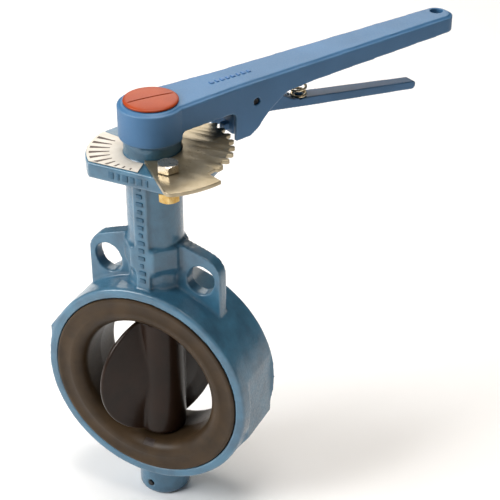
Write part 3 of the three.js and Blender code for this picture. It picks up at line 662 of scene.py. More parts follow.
@dataclass
class BodyCasting:
    """The blue iron body: ring with side flats, ears, neck, collar, top flange and boss."""

    ring_radius: float = 78.0
    half_width: float = 25.5
    seat_radius: float = 57.0
    lip_radius: float = 70.8
    lip_depth: float = 18.2
    flat_x: float = 75.3
    flat_half_width: float = 19.0
    flat_shift: float = 5.0
    flat_tip: float = 29.0
    neck_radius: float = 19.0
    neck_bore: float = 9.5
    neck_foot: float = 70.0
    strip_width: float = 11.0
    strip_reach: float = 20.6
    collar_radius: float = 22.5
    collar_top: float = 110.0
    collar_height: float = 16.0
    boss_radius: float = 18.6
    boss_foot: float = -103.0
    boss_floor: float = -96.5
    flange_top: float = 174.0
    flange_foot: float = 163.0
    flange_radius: float = 44.0
    flange_flat: float = 32.5
    bolt_circle: float = 35.0
    spigot_radius: float = 19.2
    spigot_top: float = 185.0
    ear_half: float = 5.0
    ear_edge: Sequence[Sequence[float]] = ((12, 66), (50.5, 60), (50.5, 94, 12), (45, 102, 14),
                                           (36, 105.5, 12), (19, 111), (12, 111))
    slot_width: float = 19.5
    slot_low: float = 81.75
    slot_high: float = 103.5
    slot_angle: float = 22.5
    edge: float = 1.2
    collar_slope: float = 7.0
    collar_edge: float = 1.5
    flare: float = 3.0
    root: float = 60.0
    bolt_hole: float = 4.5
    pin_hole: float = 2.2
    pin_angle: float = 263.0
    pin_up: float = 9.0
    strip_marks: Sequence[float] = (4.4, 5.2, 3.0, 5.2, 4.4, 5.2, 3.0, 4.4, 5.2, 3.6, 5.2, 4.4, 3.0)
    flange_marks: Sequence[float] = (4.2, 2.2, 4.2, 3.2, 4.2, 2.2)

    def ring(self) -> bmesh.types.BMesh:
        """Returns the ring with the seat for the liner."""
        side = [(self.seat_radius, self.lip_depth), (self.lip_radius, self.lip_depth),
                (self.lip_radius, self.half_width), (self.ring_radius - self.edge, self.half_width),
                (self.ring_radius, self.half_width - self.edge)]
        return along_y(revolve(mirrored(side), RING_STEPS))

    def flats(self, side: int) -> tuple[bmesh.types.BMesh, bmesh.types.BMesh]:
        """Shapes one side flat, which ends in a proud corner.

        Args:
            side: 1 for +X, -1 for -X.

        Returns:
            What is cut away and what is joined on.
        """
        chord = math.sqrt(self.ring_radius ** 2 - self.flat_x ** 2)
        tangent = math.atan2(self.flat_tip, self.flat_x) + math.acos(
            self.ring_radius / math.hypot(self.flat_x, self.flat_tip))
        depth = 6.0
        inner = self.ring_radius - depth
        wedge = [(self.flat_x, chord), (self.flat_x, -self.flat_tip),
                 (self.ring_radius * math.cos(tangent), -self.ring_radius * math.sin(tangent)),
                 (inner * math.cos(tangent), -inner * math.sin(tangent)), (self.flat_x - depth, 0)]
        middle = side * self.flat_shift
        near, far = middle - self.flat_half_width, middle + self.flat_half_width
        away = block((2 * depth, far - near, 2 * chord), (side * (self.flat_x + depth), middle, 0))
        return away, slab([(x * side, z * side) for x, z in wedge], near, far)

    def ear(self, side: int) -> bmesh.types.BMesh:
        """Returns the plate that carries one flange-bolt slot."""
        corners = [(c[0] * side, *c[1:]) for c in self.ear_edge]
        return slab(fillet(corners), -self.ear_half, self.ear_half)

    def slot(self, side: int) -> bmesh.types.BMesh:
        """Returns the cutter of one flange-bolt slot."""
        half = self.slot_width / 2
        bend = half - 0.2
        corners = [(x, z, bend) for x, z in ((-half, self.slot_low), (half, self.slot_low),
                                             (half, self.slot_high), (-half, self.slot_high))]
        turn = Matrix.Rotation(math.radians(self.slot_angle * side), 4, "Y")
        return turned_by(slab(fillet(corners), -2 * self.ear_half, 2 * self.ear_half), turn)

    def flange(self) -> bmesh.types.BMesh:
        """Returns the top flange, round with two flats."""
        flat = math.degrees(math.asin(self.flange_flat / self.flange_radius))
        edge = arc(self.flange_radius, -flat, flat, 40) + arc(self.flange_radius, 180 - flat, 180 + flat, 40)
        return prism(edge, self.flange_foot, self.flange_top)

    def collar(self) -> bmesh.types.BMesh:
        """Returns the eight-sided collar at the foot of the neck."""
        foot, top, edge = self.collar_top - self.collar_height, self.collar_top, self.collar_edge
        profile = [(0, self.neck_foot), (self.neck_radius, self.neck_foot),
                   (self.neck_radius, foot - self.collar_slope), (self.collar_radius, foot),
                   (self.collar_radius, top - edge), (self.collar_radius - edge, top), (0, top)]
        return turned_by(revolve(profile, 8), Matrix.Rotation(math.radians(22.5), 4, "Z"))

    def neck(self) -> bmesh.types.BMesh:
        """Returns the round neck, which flares into the flange, with the spigot above."""
        foot, flared = self.flange_foot, self.neck_radius + self.flare
        return revolve([(0, self.neck_foot), (self.neck_radius, self.neck_foot),
                        (self.neck_radius, foot - self.flare), (flared, foot), (flared, foot + 1),
                        (self.spigot_radius, foot + 2), (self.spigot_radius, self.spigot_top),
                        (0, self.spigot_top)])

    def boss(self) -> bmesh.types.BMesh:
        """Returns the bottom boss with its soft lower edge."""
        radius, foot, soft = self.boss_radius, self.boss_foot, 3.0
        return revolve([(0, -self.root), (radius, -self.root), (radius, foot + soft),
                        (radius - 0.3 * soft, foot + 0.3 * soft), (radius - soft, foot), (0, foot)])

    def strip(self) -> bmesh.types.BMesh:
        """Returns the flat strip that runs up the front and the back of the neck."""
        return block((self.strip_width, 2 * self.strip_reach, self.flange_foot - self.neck_foot),
                     (0, 0, (self.flange_foot + self.neck_foot) / 2 + 1))

    def build(self) -> bpy.types.Object:
        """Casts the body and returns it painted."""
        work = Workpiece("body_casting", voxel=1.0, rounding=5, waviness=0.3)
        work.add(self.ring())
        for side in (1, -1):
            away, proud = self.flats(side)
            work.cut(away).add(proud)
        work.add(self.ear(1), self.ear(-1), self.neck(), self.boss())
        work.add(self.collar(), self.strip(), self.flange())
        work.cut(along_y(drum(self.seat_radius, -self.lip_depth, self.lip_depth, RING_STEPS)))
        for side in (1, -1):
            work.cut(along_y(drum(self.lip_radius, side * self.lip_depth, side * CLEAR, RING_STEPS)))
        inside = self.root / 2
        work.cut(self.slot(1), self.slot(-1), drum(self.neck_bore, inside, self.spigot_top + 5),
                 drum(self.neck_bore, self.boss_floor, -inside))
        for angle in (45, 135, 225, 315):
            work.cut(drum(self.bolt_hole, self.flange_foot - 8, self.flange_top + 6, 32,
                          polar(self.bolt_circle, angle)))
        pin = turned_by(drum(self.pin_hole, 8, 25, 24), Matrix.Rotation(math.pi / 2, 4, "Y"))
        turn = Matrix.Rotation(math.radians(self.pin_angle), 4, "Z")
        work.cut(turned_by(pin, Matrix.Translation((0, 0, self.boss_foot + self.pin_up)) @ turn))
        return dress(work.finish(), BLUE_ENAMEL, Body.HOUSING, ["valve_body"])

    def marks(self) -> bpy.types.Object:
        """Returns plain raised marks on the neck strip and the flange, as foundries leave them."""
        first, pitch, left, gap = 85.0, 5.9, -13.0, 5.2
        middle = (self.flange_foot + self.flange_top) / 2 - 0.1
        shapes = []
        for i, width in enumerate(self.strip_marks):
            shapes.append(block((width, 1.5, 3.0), (0, -self.strip_reach, first + i * pitch), 0.5))
        for i, width in enumerate(self.flange_marks):
            shapes.append(block((width, 1.0, 4.6), (left + i * gap, 0.1 - self.flange_flat, middle), 0.4))
        # The marks' darker colour is painted shade.
        return dress(make_object("cast_marks", joined(shapes)), CAST_MARKS, Body.HOUSING)


@dataclass
class SeatLiner:
    """The moulded rubber liner with its two sealing faces."""

    bore: float = 50.0
    wall: float = 6.7
    lip_thickness: float = 7.5
    flare: float = 9.0
    groove: float = 0.25
    stem_hole: float = 7.3
    stamp_angle: float = 266.0
    stamp_turn: float = 1.1
    stamp_near: float = 19.5
    stamp_row: float = 0.96

    def build(self) -> bpy.types.Object:
        """Moulds the liner around its own CAD box and returns it."""
        _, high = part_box("seat_liner")
        half, outer = high.y / MM, high.x / MM
        mouth = self.bore + self.flare
        foot = half - self.lip_thickness
        lip = arc(self.flare, 180, 90, 14, (mouth, half - self.flare))
        groove = [(mouth + 1.0, half), (mouth + 1.6, half - self.groove), (outer - 3.2, half - self.groove)]
        corner = [(outer - 2.6, half), (outer - 1, half), (outer - 0.3, half - 0.3), (outer, half - 1)]
        side = [(self.bore, 0.8), *lip, *groove, *corner, (outer, foot), (self.bore + self.wall, foot)]
        seam = [(self.bore - 0.12, 0.0)]
        work = Workpiece("rubber_liner").add(along_y(revolve(seam + mirrored(side), 192)))
        work.cut(drum(self.stem_hole, -2 * CLEAR, 2 * CLEAR))
        return dress(work.finish(), LINER_RUBBER, Body.HOUSING, ["seat_liner"])

    def stamp(self) -> bpy.types.Object:
        """Returns a plain printed rectangle on the mouth of the bore, ahead of the disc."""
        _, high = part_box("seat_liner")
        straight = high.y / MM - self.flare
        columns, rows = 9, 6
        sheet = bmesh.new()
        grid = []
        for k in range(columns):
            column = []
            for row in range(rows):
                y = self.stamp_near + row * self.stamp_row
                radius = self.bore + self.flare - math.sqrt(self.flare ** 2 - (y - straight) ** 2)
                x, z = polar(radius - 0.06, self.stamp_angle + k * self.stamp_turn)
                column.append(sheet.verts.new((x, -y, z)))
            grid.append(column)
        for here, there in zip(grid, grid[1:]):
            for row in range(rows - 1):
                sheet.faces.new((here[row], here[row + 1], there[row + 1], there[row]))
        bmesh.ops.solidify(sheet, geom=sheet.faces[:], thickness=0.05)
        bmesh.ops.recalc_face_normals(sheet, faces=sheet.faces)
        return dress(make_object("liner_stamp", sheet), LABEL_INK, Body.HOUSING)


@dataclass
class NotchPlate:
    """The zinc-plated plate whose notches hold the lever, with its printed scale."""

    tip_radius: float = 53.5
    root_radius: float = 49.5
    pitch: float = 10.0
    notches: int = 10
    stop_radius: float = 64.5
    closed_stop: float = -20.0
    open_stop: float = 110.0
    last_angle: float = 133.0
    edge: float = 10.3
    corner: float = 5.0
    far_radius: float = 44.0
    inner_radius: float = 19.5
    hole_radius: float = 4.5
    bolt_circle: float = 35.0
    label_outer: float = 43.0
    label_from: float = 168.0
    label_to: float = 281.0
    label_width: float = 62.0
    bars: int = 10
    bar_from: float = 28.0
    bar_to: float = 41.4
    run: float = 8.0
    land: float = 1.5
    notch: Sequence[Point] = ((-0.39, 3.5), (-0.32, 2.9), (-0.26, 1.0), (-0.2, 0.3), (-0.13, 0), (0.13, 0),
                              (0.2, 0.3), (0.26, 1.0), (0.32, 2.9), (0.39, 3.5), (0.46, 3.94), (0.5, 4.0),
                              (0.54, 3.94))

    def _edge_at(self, radius: float, heading: float) -> Vector:
        """Returns where the straight edge meets a circle, heading -45 or 135 degrees."""
        along = math.sqrt(radius ** 2 - self.edge ** 2)
        return Vector(polar(self.edge, -135)) + Vector(polar(along, heading))

    def outline(self) -> list[Point]:
        """Returns the outer edge with its notches."""
        corner = self._edge_at(self.stop_radius, -45)
        beside = self._edge_at(self.stop_radius - 12, -45)
        angle = math.degrees(math.atan2(corner.y, corner.x))
        bend = fillet([polar(self.stop_radius, angle + self.run), (corner.x, corner.y, self.corner),
                       (beside.x, beside.y)])
        floor, tip = self.root_radius + self.land, self.tip_radius
        teeth = [polar(self.root_radius + rise, (k + turn) * self.pitch)
                 for k in range(self.notches) for turn, rise in self.notch]
        last = self.notches * self.pitch
        inner = [self._edge_at(self.inner_radius, heading) for heading in (135, -45)]
        spans = [math.degrees(math.atan2(p.y, p.x)) for p in inner]
        far = self._edge_at(self.far_radius, 135)
        return [*bend[1:-1][::-1], *arc(self.stop_radius, angle + self.run, self.closed_stop, 16),
                polar(floor, self.closed_stop + 1), polar(floor, -self.pitch - 0.5),
                polar(tip - 0.5, 0.5 - self.pitch), polar(tip, -self.pitch / 2), *teeth,
                polar(tip - 0.5, last - 0.5), polar(floor, last + 0.5), polar(floor, self.open_stop - 1),
                *arc(self.stop_radius, self.open_stop, self.last_angle, 16), (far.x, far.y),
                *arc(self.inner_radius, spans[0], spans[1], 60)]

    def build(self) -> bpy.types.Object:
        """Presses the plate, with its edges broken, and returns it."""
        low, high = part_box("notch_plate")
        bevel = 0.3 * MM
        curve = bpy.data.curves.new("notch_plate", "CURVE")
        curve.dimensions = "2D"
        curve.fill_mode = "BOTH"
        curve.extrude = (high.z - low.z) / 2 - bevel
        curve.bevel_depth = bevel
        curve.bevel_resolution = 2
        curve.offset = -bevel
        loops = [self.outline()]
        for angle in (-45, 135):
            loops.append(arc(self.hole_radius, 0, 345, 23, polar(self.bolt_circle, angle)))
        for loop in loops:
            spline = curve.splines.new("POLY")
            spline.points.add(len(loop) - 1)
            for point, (x, y) in zip(spline.points, loop):
                point.co = (x * MM, y * MM, 0, 1)
            spline.use_cyclic_u = True
        holder = bpy.data.objects.new("holder", curve)
        bpy.context.scene.collection.objects.link(holder)
        mesh = evaluated(holder)
        bpy.data.objects.remove(holder)
        shape = in_millimetres(mesh)
        bmesh.ops.remove_doubles(shape, verts=shape.verts, dist=0.001)
        bmesh.ops.recalc_face_normals(shape, faces=shape.faces)
        turned_by(shape, Matrix.Translation((0, 0, (low.z + high.z) / 2 / MM)))
        return dress(make_object("toothed_plate", shape), ZINC_PLATE, Body.HOUSING, ["notch_plate"])

    def label(self) -> list[bpy.types.Object]:
        """Returns the scale's film and its printed bars."""
        low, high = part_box("scale_label")
        foot, top = low.z / MM, high.z / MM
        ring = arc(self.label_outer, self.label_from, self.label_to, 60) + \
            arc(self.inner_radius, self.label_to, self.label_from, 40)
        film = Workpiece("scale_film").add(prism(ring, foot, top - 0.05))
        film.trim(block((200, self.label_width, 20), (0, 0, foot)))
        bars = []
        for k in range(self.bars):
            angle = 180 + k * self.pitch
            side = [(self.bar_from, -0.9), (self.bar_to, -2.1)]
            bars.append(prism([polar(r, angle + half) for r, half in mirrored(side)], top - 0.2, top))
        ink = Workpiece("scale_bars").add(joined(bars))
        ink.trim(block((200, self.label_width - 1.4, 20), (0, 0, foot)))
        return [dress(film.finish(), LABEL_FILM, Body.HOUSING, ["scale_label"]),
                dress(ink.finish(), LABEL_INK, Body.HOUSING)]


@dataclass
class HexFastener:
    """One bolt of the notch plate with its nut."""

    place: str
    radius: float = 4.0
    pitch: float = 1.25
    across_flats: float = 13.0
    head: float = 5.5
    depth: float = 0.62
    lead_in: float = 0.8

    def _hexagon(self, low: float, high: float, bottom: bool) -> bmesh.types.BMesh:
        """Hexagon turned to a cone at the top, and at the bottom too if asked.

        Args:
            low: Its foot.
            high: Its top.
            bottom: Whether its foot is coned as well.

        Returns:
            The coned hexagon as a mesh.
        """
        corner = self.across_flats / math.sqrt(3)
        flat = self.across_flats / 2 - 0.15
        fall = (corner - flat) * math.tan(math.radians(30))
        hexa = prism([polar(corner, 60 * k) for k in range(6)], low, high)
        profile = [(0, low), (flat, low), (corner, low + fall)] if bottom else [(0, low), (corner, low)]
        cone = revolve(profile + [(corner, high - fall), (flat, high), (0, high)], 72)
        work = Workpiece("hexagon").add(hexa).trim(cone).finish()
        mesh = work.data
        bpy.data.objects.remove(work)
        return in_millimetres(mesh)

    def _thread(self, low: float, high: float) -> bmesh.types.BMesh:
        """Returns a threaded rod with a real helix."""
        around, rows = 40, max(2, int((high - low) / self.pitch * 8))
        rings = []
        for row in range(rows + 1):
            z = low + (high - low) * row / rows
            fade = min(1.0, (z - low) / self.lead_in)
            ring = []
            for k in range(around):
                phase = (z / self.pitch - k / around) % 1.0
                depth = self.depth * abs(2 * phase - 1)
                ring.append((*polar(self.radius - depth - 0.5 * (1 - fade), 360 * k / around), z))
            rings.append(ring)
        return loft(rings)

    def build(self) -> list[bpy.types.Object]:
        """Returns the bolt and the nut, each in its CAD box."""
        low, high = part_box(f"plate_bolt_{self.place}")
        nut_low, nut_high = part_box(f"plate_nut_{self.place}")
        middle = (low + high) / 2
        centre = Matrix.Translation((middle.x / MM, middle.y / MM, 0))
        top = high.z / MM
        head_foot = top - self.head
        face = drum(self.across_flats / 2 - 0.4, head_foot, head_foot + 0.6)
        bolt = joined([self._hexagon(head_foot + 0.35, top, False), face,
                       self._thread(low.z / MM, head_foot + 0.4)])
        foot, roof = nut_low.z / MM, nut_high.z / MM
        nut = Workpiece(f"nut_{self.place}").add(self._hexagon(foot, roof, True))
        nut.cut(drum(self.radius + 0.3, foot - 5, roof + 5, 40))
        metre = Matrix.Translation((middle.x, middle.y, 0))
        return [dress(make_object(f"bolt_{self.place}", turned_by(bolt, centre), 28), ZINC_BOLT, Body.HOUSING,
                      [f"plate_bolt_{self.place}"]),
                dress(nut.finish(metre), YELLOW_ZINC, Body.HOUSING, [f"plate_nut_{self.place}"])]


# ---------------------------------------------------------------- rotor


@dataclass
class TurningPart:
    """Something shaped in the lever's own frame, which stands on the top flange.

    Attributes:
        turn: The lever frame's rotation.
        flange_top: Height of that flange.
    """

    turn: Matrix
    flange_top: float = 174.0

    def lifted(self) -> Matrix:
        """Returns the lever frame's place, for what is measured from the flange."""
        return self.turn @ Matrix.Translation((0, 0, self.flange_top * MM))


@dataclass
class Disc(TurningPart):
    """The coated disc with its domed hub along the stem."""

    radius: float = 49.7
    hub: float = 17.0
    web: float = 8.0
    rim: float = 1.8
    slope: Sequence[Point] = ((23.5, 6.0), (30.0, 4.4), (37.0, 3.3))
    socket: float = 7.3
    upper_socket: float = 18.0
    lower_socket: float = 23.7

    def build(self) -> bpy.types.Object:
        """Casts the disc and returns it coated."""
        radius, rim = self.radius, self.rim
        side = [(0, self.web), (self.hub, self.web - 0.5), *self.slope, (43, rim + 0.5),
                (radius - 3, rim + 0.1), (radius - 0.5, rim - 0.1), (radius, rim - 0.6)]
        plate = along_y(revolve(mirrored(side), RING_STEPS))
        dome_radius = radius - 0.2
        dome = math.degrees(math.acos(self.hub / dome_radius))
        upper = arc(dome_radius, dome, 90, 8)[:-1] + [(0.0, dome_radius)]
        tube = revolve([(r, -z) for r, z in reversed(upper)] + upper)
        work = Workpiece("coated_disc", voxel=0.8, rounding=3).add(plate, tube)
        work.cut(drum(self.socket, self.upper_socket, 2 * CLEAR))
        work.cut(drum(self.socket, -2 * CLEAR, -self.lower_socket))
        return dress(work.finish(self.turn), DISC_NYLON, Body.ROTOR, ["disc"])


@dataclass
class LeverHandle(TurningPart):
    """The die-cast lever: hub, tapered arm with a raised top panel and the trigger housing."""

    hub_radius: float = 22.0
    hub_foot: float = 11.5
    hub_top: float = 35.5
    length: float = 251.6
    rise: float = 3.9
    root_half: float = 19.6
    horn_half: float = 15.5
    tip_half: float = 11.4
    wall: float = 3.2
    roof: float = 4.5
    horn: float = 55.5
    horn_foot: float = -3.4
    wall_foot: float = 17.5
    panel_inset: float = 2.2
    panel_height: float = 1.2
    underside: Sequence[Sequence[float]] = ((0, 0), (11.5, 0.3, 6), (18.4, 4.8, 8), (24, 11.4, 10),
                                            (30.5, 16.4), (42.5, 24.6, 8), (67.5, 26.4), (201.1, 30.9))
    hole: Point = (243.0, 2.6)
    hole_radius: float = 4.6
    pivot: Point = (72.6, 20.7)
    pin_hole: float = 2.8
    recess: float = 14.3
    recess_floor: float = 26.5
    socket: float = 10.4
    mark_lengths: Sequence[float] = (3.0, 2.0, 3.0, 2.4, 3.0, 2.0, 3.0, 2.4)
    mark_pitch: float = 4.2

    def arm(self, inset: float, start: float, end: float) -> list[Point]:
        """Plan of the arm.

        Args:
            inset: How far inside its edge.
            start: Where it starts, from the stem.
            end: Where it ends.

        Returns:
            The outline.
        """
        def half(s: float) -> float:
            """Returns the half width at a distance from the stem."""
            if s < self.horn:
                return self.root_half + (self.horn_half - self.root_half) * s / self.horn - inset
            share = (s - self.horn) / (self.length - self.horn)
            return self.horn_half + (self.tip_half - self.horn_half) * share - inset
        bend = (self.tip_half - inset) * 0.92
        return fillet([(start, -half(start)), (self.horn, -half(self.horn)), (end, -half(end), bend),
                       (end, half(end), bend), (self.horn, half(self.horn)), (start, half(start))], 12)

    def sloped(self, shape: bmesh.types.BMesh) -> bmesh.types.BMesh:
        """Raises a mesh along the arm, as its top rises to the tip, and returns it."""
        slope = self.rise / (self.length - self.hub_radius)
        shear = Matrix(((1, 0, 0, 0), (0, 1, 0, 0), (slope, 0, 1, -slope * self.hub_radius), (0, 0, 0, 1)))
        return turned_by(shape, shear)

    def side(self) -> list[Point]:
        """Returns the side view, with the trigger housing hanging down."""
        top, step = self.hub_top + 20, self.wall_foot - 1.5
        hanging = [(self.horn + along, self.horn_foot + up, *bend) for along, up, *bend in self.underside]
        return fillet([(0, top), (0, step), (12, step), (14, self.wall_foot), (self.horn, self.wall_foot, 4),
                       *hanging, (hanging[-1][0], top)])

    def build(self) -> bpy.types.Object:
        """Casts the lever and returns it painted."""
        shelf = self.hub_top - self.panel_height
        deep = self.horn_foot - 10
        work = Workpiece("lever_casting", voxel=0.65, rounding=3, waviness=0.06)
        work.add(self.sloped(prism(self.arm(0, 0, self.length), deep, shelf)))
        work.trim(slab(self.side(), -40, 40))
        hub, foot = self.hub_radius, self.hub_foot
        work.add(revolve([(0, foot), (hub - 1, foot), (hub, foot + 1), (hub, shelf), (0, shelf)]))
        panel = prism(self.arm(self.panel_inset, 0, self.length - self.panel_inset), shelf - 3, self.hub_top)
        work.add(self.sloped(panel), drum(hub - self.panel_inset, shelf - 3, self.hub_top, 96))
        work.cut(block((26, 60, 12), (25, 0, self.wall_foot - 7.5)))
        channel = prism(self.arm(self.wall, hub + 2, self.length - 18), deep - 5, self.hub_top - self.roof)
        work.cut(self.sloped(channel), drum(self.recess, self.recess_floor, self.hub_top + 5, 64),
                 block((self.socket, self.socket, 20), (0, 0, self.recess_floor - 9)),
                 drum(self.hole_radius, 0, 60, 48, self.hole), crosswise(self.pin_hole, CLEAR, self.pivot))
        return dress(work.finish(self.lifted()), LEVER_ENAMEL, Body.ROTOR, ["lever_handle"])

    def marks(self) -> bpy.types.Object:
        """Returns plain raised marks on the top panel."""
        first = self.horn - 9.0
        shapes = [block((length, 3.4, 1.0), (first + i * self.mark_pitch, 0, self.hub_top), 0.35)
                  for i, length in enumerate(self.mark_lengths)]
        piece = make_object("lever_marks", self.sloped(joined(shapes)))
        piece.data.transform(self.lifted())
        # The marks' darker colour is painted shade.
        return dress(piece, LEVER_MARKS, Body.ROTOR)


@dataclass
class HubCap(TurningPart):
    """The orange plug over the lever screw, with a straight pointer groove.

    Attributes:
        wall: Thickness of the plug's skirt.
        plug_radius: Radius of the skirt.
        plug_foot: Height of the skirt's foot.
        thickness: Thickness of the cap.
        crown: Its edge, from the foot up: how far in from the radius, and how far up.
        groove: Width and depth of the pointer groove, both through the middle of its block.
        pointer_angle: Turn of the groove from the lever, in degrees.
    """

    wall: float = 1.6
    plug_radius: float = 14.0
    plug_foot: float = 203.5
    thickness: float = 2.6
    crown: Sequence[Point] = ((0.5, 0), (0.1, 0.15), (0, 0.5), (0, 1.0), (0.3, 1.4), (1.0, 1.75), (2.4, 2.0),
                              (5, 2.25))
    groove: Point = (1.3, 1.8)
    pointer_angle: float = -8.0

    def build(self) -> bpy.types.Object:
        """Moulds the cap and returns it."""
        low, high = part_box("hub_cap")
        top, radius = high.z / MM, (high.x - low.x) / 2 / MM
        base, plug = top - self.thickness, self.plug_radius
        bore = plug - self.wall
        crown = [(radius - inward, base + up) for inward, up in self.crown]
        skirt = [(0, base + 0.4), (bore, base + 0.4), (bore, self.plug_foot), (plug - 0.4, self.plug_foot),
                 (plug, self.plug_foot + 0.4), (plug, base)]
        work = Workpiece("cap_moulding")
        work.add(revolve([*skirt, *crown, (radius / 2, base + 2.5), (0, top)], 128))
        groove = turned_by(block((2 * radius - 4, *self.groove), (0, 0, top), 0.3),
                           Matrix.Rotation(math.radians(self.pointer_angle), 4, "Z"))
        work.cut(groove)
        return dress(work.finish(self.turn), CAP_PLASTIC, Body.ROTOR, ["hub_cap"])


@dataclass
class Trigger(TurningPart):
    """The trigger with its pawl nose, its return spring and the pin it turns on.

    Attributes:
        horn: Where the trigger housing starts, from the stem.
        nose: Where the pawl nose starts, from the stem.
        pivot: Distance and height of the pin.
        eye: Radius of the boss round the pin.
        width: Width of the trigger at the pin.
        tip_width: Its width at the tip.
        nose_width: Width of the pawl nose.
        length: Reach of the tip past the horn.
        cheek: How far the nose stands out of the trigger's end.
        nose_foot: Height of the nose's underside.
        nose_top: Height of its top.
        cheek_foot: Height of the foot of the trigger's end.
        cheek_top: Height of its top.
        spring_at: Where the spring stands, from the stem.
        spring_seat: Height of its seat.
        spring_radius: Radius of the spring.
        wire: Thickness of its wire.
        turns: Number of turns.
        swing: How far the seat moves sideways under the spring when squeezed.
        tilt: Height kept for the seat's tilt; not used.
        pin_hole: Radius of the hole for the pin.
        pin_radius: Radius of the pin.
        pin_half: Longest half length of the pin, short of the lever's faces.
    """

    horn: float = 55.5
    nose: float = 54.0
    pivot: Point = (72.6, 20.7)
    eye: float = 6.6
    width: float = 12.4
    tip_width: float = 9.0
    nose_width: float = 5.2
    length: float = 165.0
    cheek: float = 4.7
    nose_foot: float = -0.6
    nose_top: float = 4.2
    cheek_foot: float = -3.0
    cheek_top: float = 14.0
    spring_at: float = 118.0
    spring_seat: float = 7.2
    spring_radius: float = 5.8
    wire: float = 1.8
    turns: float = 6.5
    swing: float = 1.8
    tilt: float = 1.3
    pin_hole: float = 2.8
    pin_radius: float = 2.5
    pin_half: float = 13.4

    def profile(self) -> list[Point]:
        """Returns the side view."""
        s, n, end = self.horn, self.nose, self.nose + self.cheek
        tip, (ps, pz) = self.horn + self.length, self.pivot
        under = [(n, self.nose_foot), (end, self.nose_foot), (end, self.cheek_foot),
                 (end + 7.3, self.cheek_foot, 3), (s + 17, 7, 5), (s + 36, 5.2, 8), (s + 94.5, -3.4),
                 (tip, -13.6, 3), (tip + 0.5, -7.6, 2.4)]
        over = [(self.spring_at - 9, self.spring_seat + 2, 4), (ps + 19.4, pz - 1.3, 8),
                (ps + 2, pz + self.eye, 3), (ps - self.eye, pz + 1, 5), (end, self.cheek_top, 3),
                (end, self.nose_top), (n, self.nose_top)]
        return fillet(under + over)

    def plan(self) -> list[Point]:
        """Returns the top view."""
        n, half = self.nose, self.width / 2
        far = self.horn + self.length + 10
        side = [(n - 2, -self.nose_width / 2), (n + 4.2, -self.nose_width / 2), (n + 5.2, -half),
                (self.spring_at + 8, -half), (far, -self.tip_width / 2)]
        return mirrored(side)

    def build(self) -> bpy.types.Object:
        """Casts the trigger and returns it painted."""
        seat, at, half = self.spring_seat, self.spring_at, self.width / 2
        peg = self.spring_radius - self.wire - self.swing
        pocket = self.spring_radius + 0.6
        work = Workpiece("trigger_casting", voxel=0.5, rounding=2, waviness=0.02)
        work.add(slab(self.profile(), -half, half), crosswise(self.eye, half, self.pivot, 48))
        work.trim(prism(self.plan(), -40, 60))
        for place in (at, at - self.swing):
            work.cut(drum(pocket, seat, seat + 12, 48, (place, 0)))
        work.add(drum(peg, seat - 2, seat + 4, 32, (at, 0)))
        work.cut(crosswise(self.pin_hole, CLEAR, self.pivot))
        return dress(work.finish(self.lifted()), LEVER_ENAMEL, Body.TRIGGER, ["trigger"])

    def spring(self, squeeze: dict) -> bpy.types.Object:
        """Winds the return spring in its CAD box.

        Args:
            squeeze: The trigger's joint in the record; not used.

        Returns:
            The spring.
        """
        low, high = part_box("trigger_spring")
        middle = Vector(((low.x + high.x) / 2, (low.y + high.y) / 2, 0)) / MM
        wire, mean = self.wire / 2, self.spring_radius - self.wire / 2
        foot, roof = low.z / MM + wire, high.z / MM - wire
        rings, steps, around = [], int(self.turns * 40), 14
        flat = 0.9 / self.turns
        for i in range(steps + 1):
            share = i / steps
            climb = min(max((share - flat) / (1 - 2 * flat), 0.0), 1.0)
            out = Vector((*polar(1, share * self.turns * 360), 0))
            centre = middle + out * mean + Vector((0, 0, foot + (roof - foot) * climb))
            circle = arc(wire, 0, 360, around)[:-1]
            rings.append([centre + out * sideways + Vector((0, 0, up)) for sideways, up in circle])
        coil = dress(make_object("return_spring", loft(rings)), SPRING_WIRE, Body.ROTOR, ["trigger_spring"])
        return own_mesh(coil)

    def pin(self) -> bpy.types.Object:
        """Returns the pivot pin with turned-off ends and centre marks."""
        low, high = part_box("pivot_pin")
        half = min(math.hypot(high.x - low.x, high.y - low.y) / 2 / MM, self.pin_half)
        radius, edge = self.pin_radius, 0.6
        solid = revolve([(0, 0.8 - half), (0.7, -half), (radius - edge, -half), (radius, edge - half),
                         (radius, half - edge), (radius - edge, half), (0.7, half), (0, half - 0.8)], 40)
        laid = turned_by(solid, Matrix.Rotation(math.pi / 2, 4, "X"))
        place = Matrix.Translation((self.pivot[0], 0, self.pivot[1]))
        piece = make_object("trigger_pin", turned_by(laid, place))
        piece.data.transform(self.lifted())
        # The pin is near black: painted shade for the hole it sits in.
        return dress(piece, PIN_HOLE_SHADE, Body.ROTOR, ["pivot_pin"])


# ---------------------------------------------------------------- studio


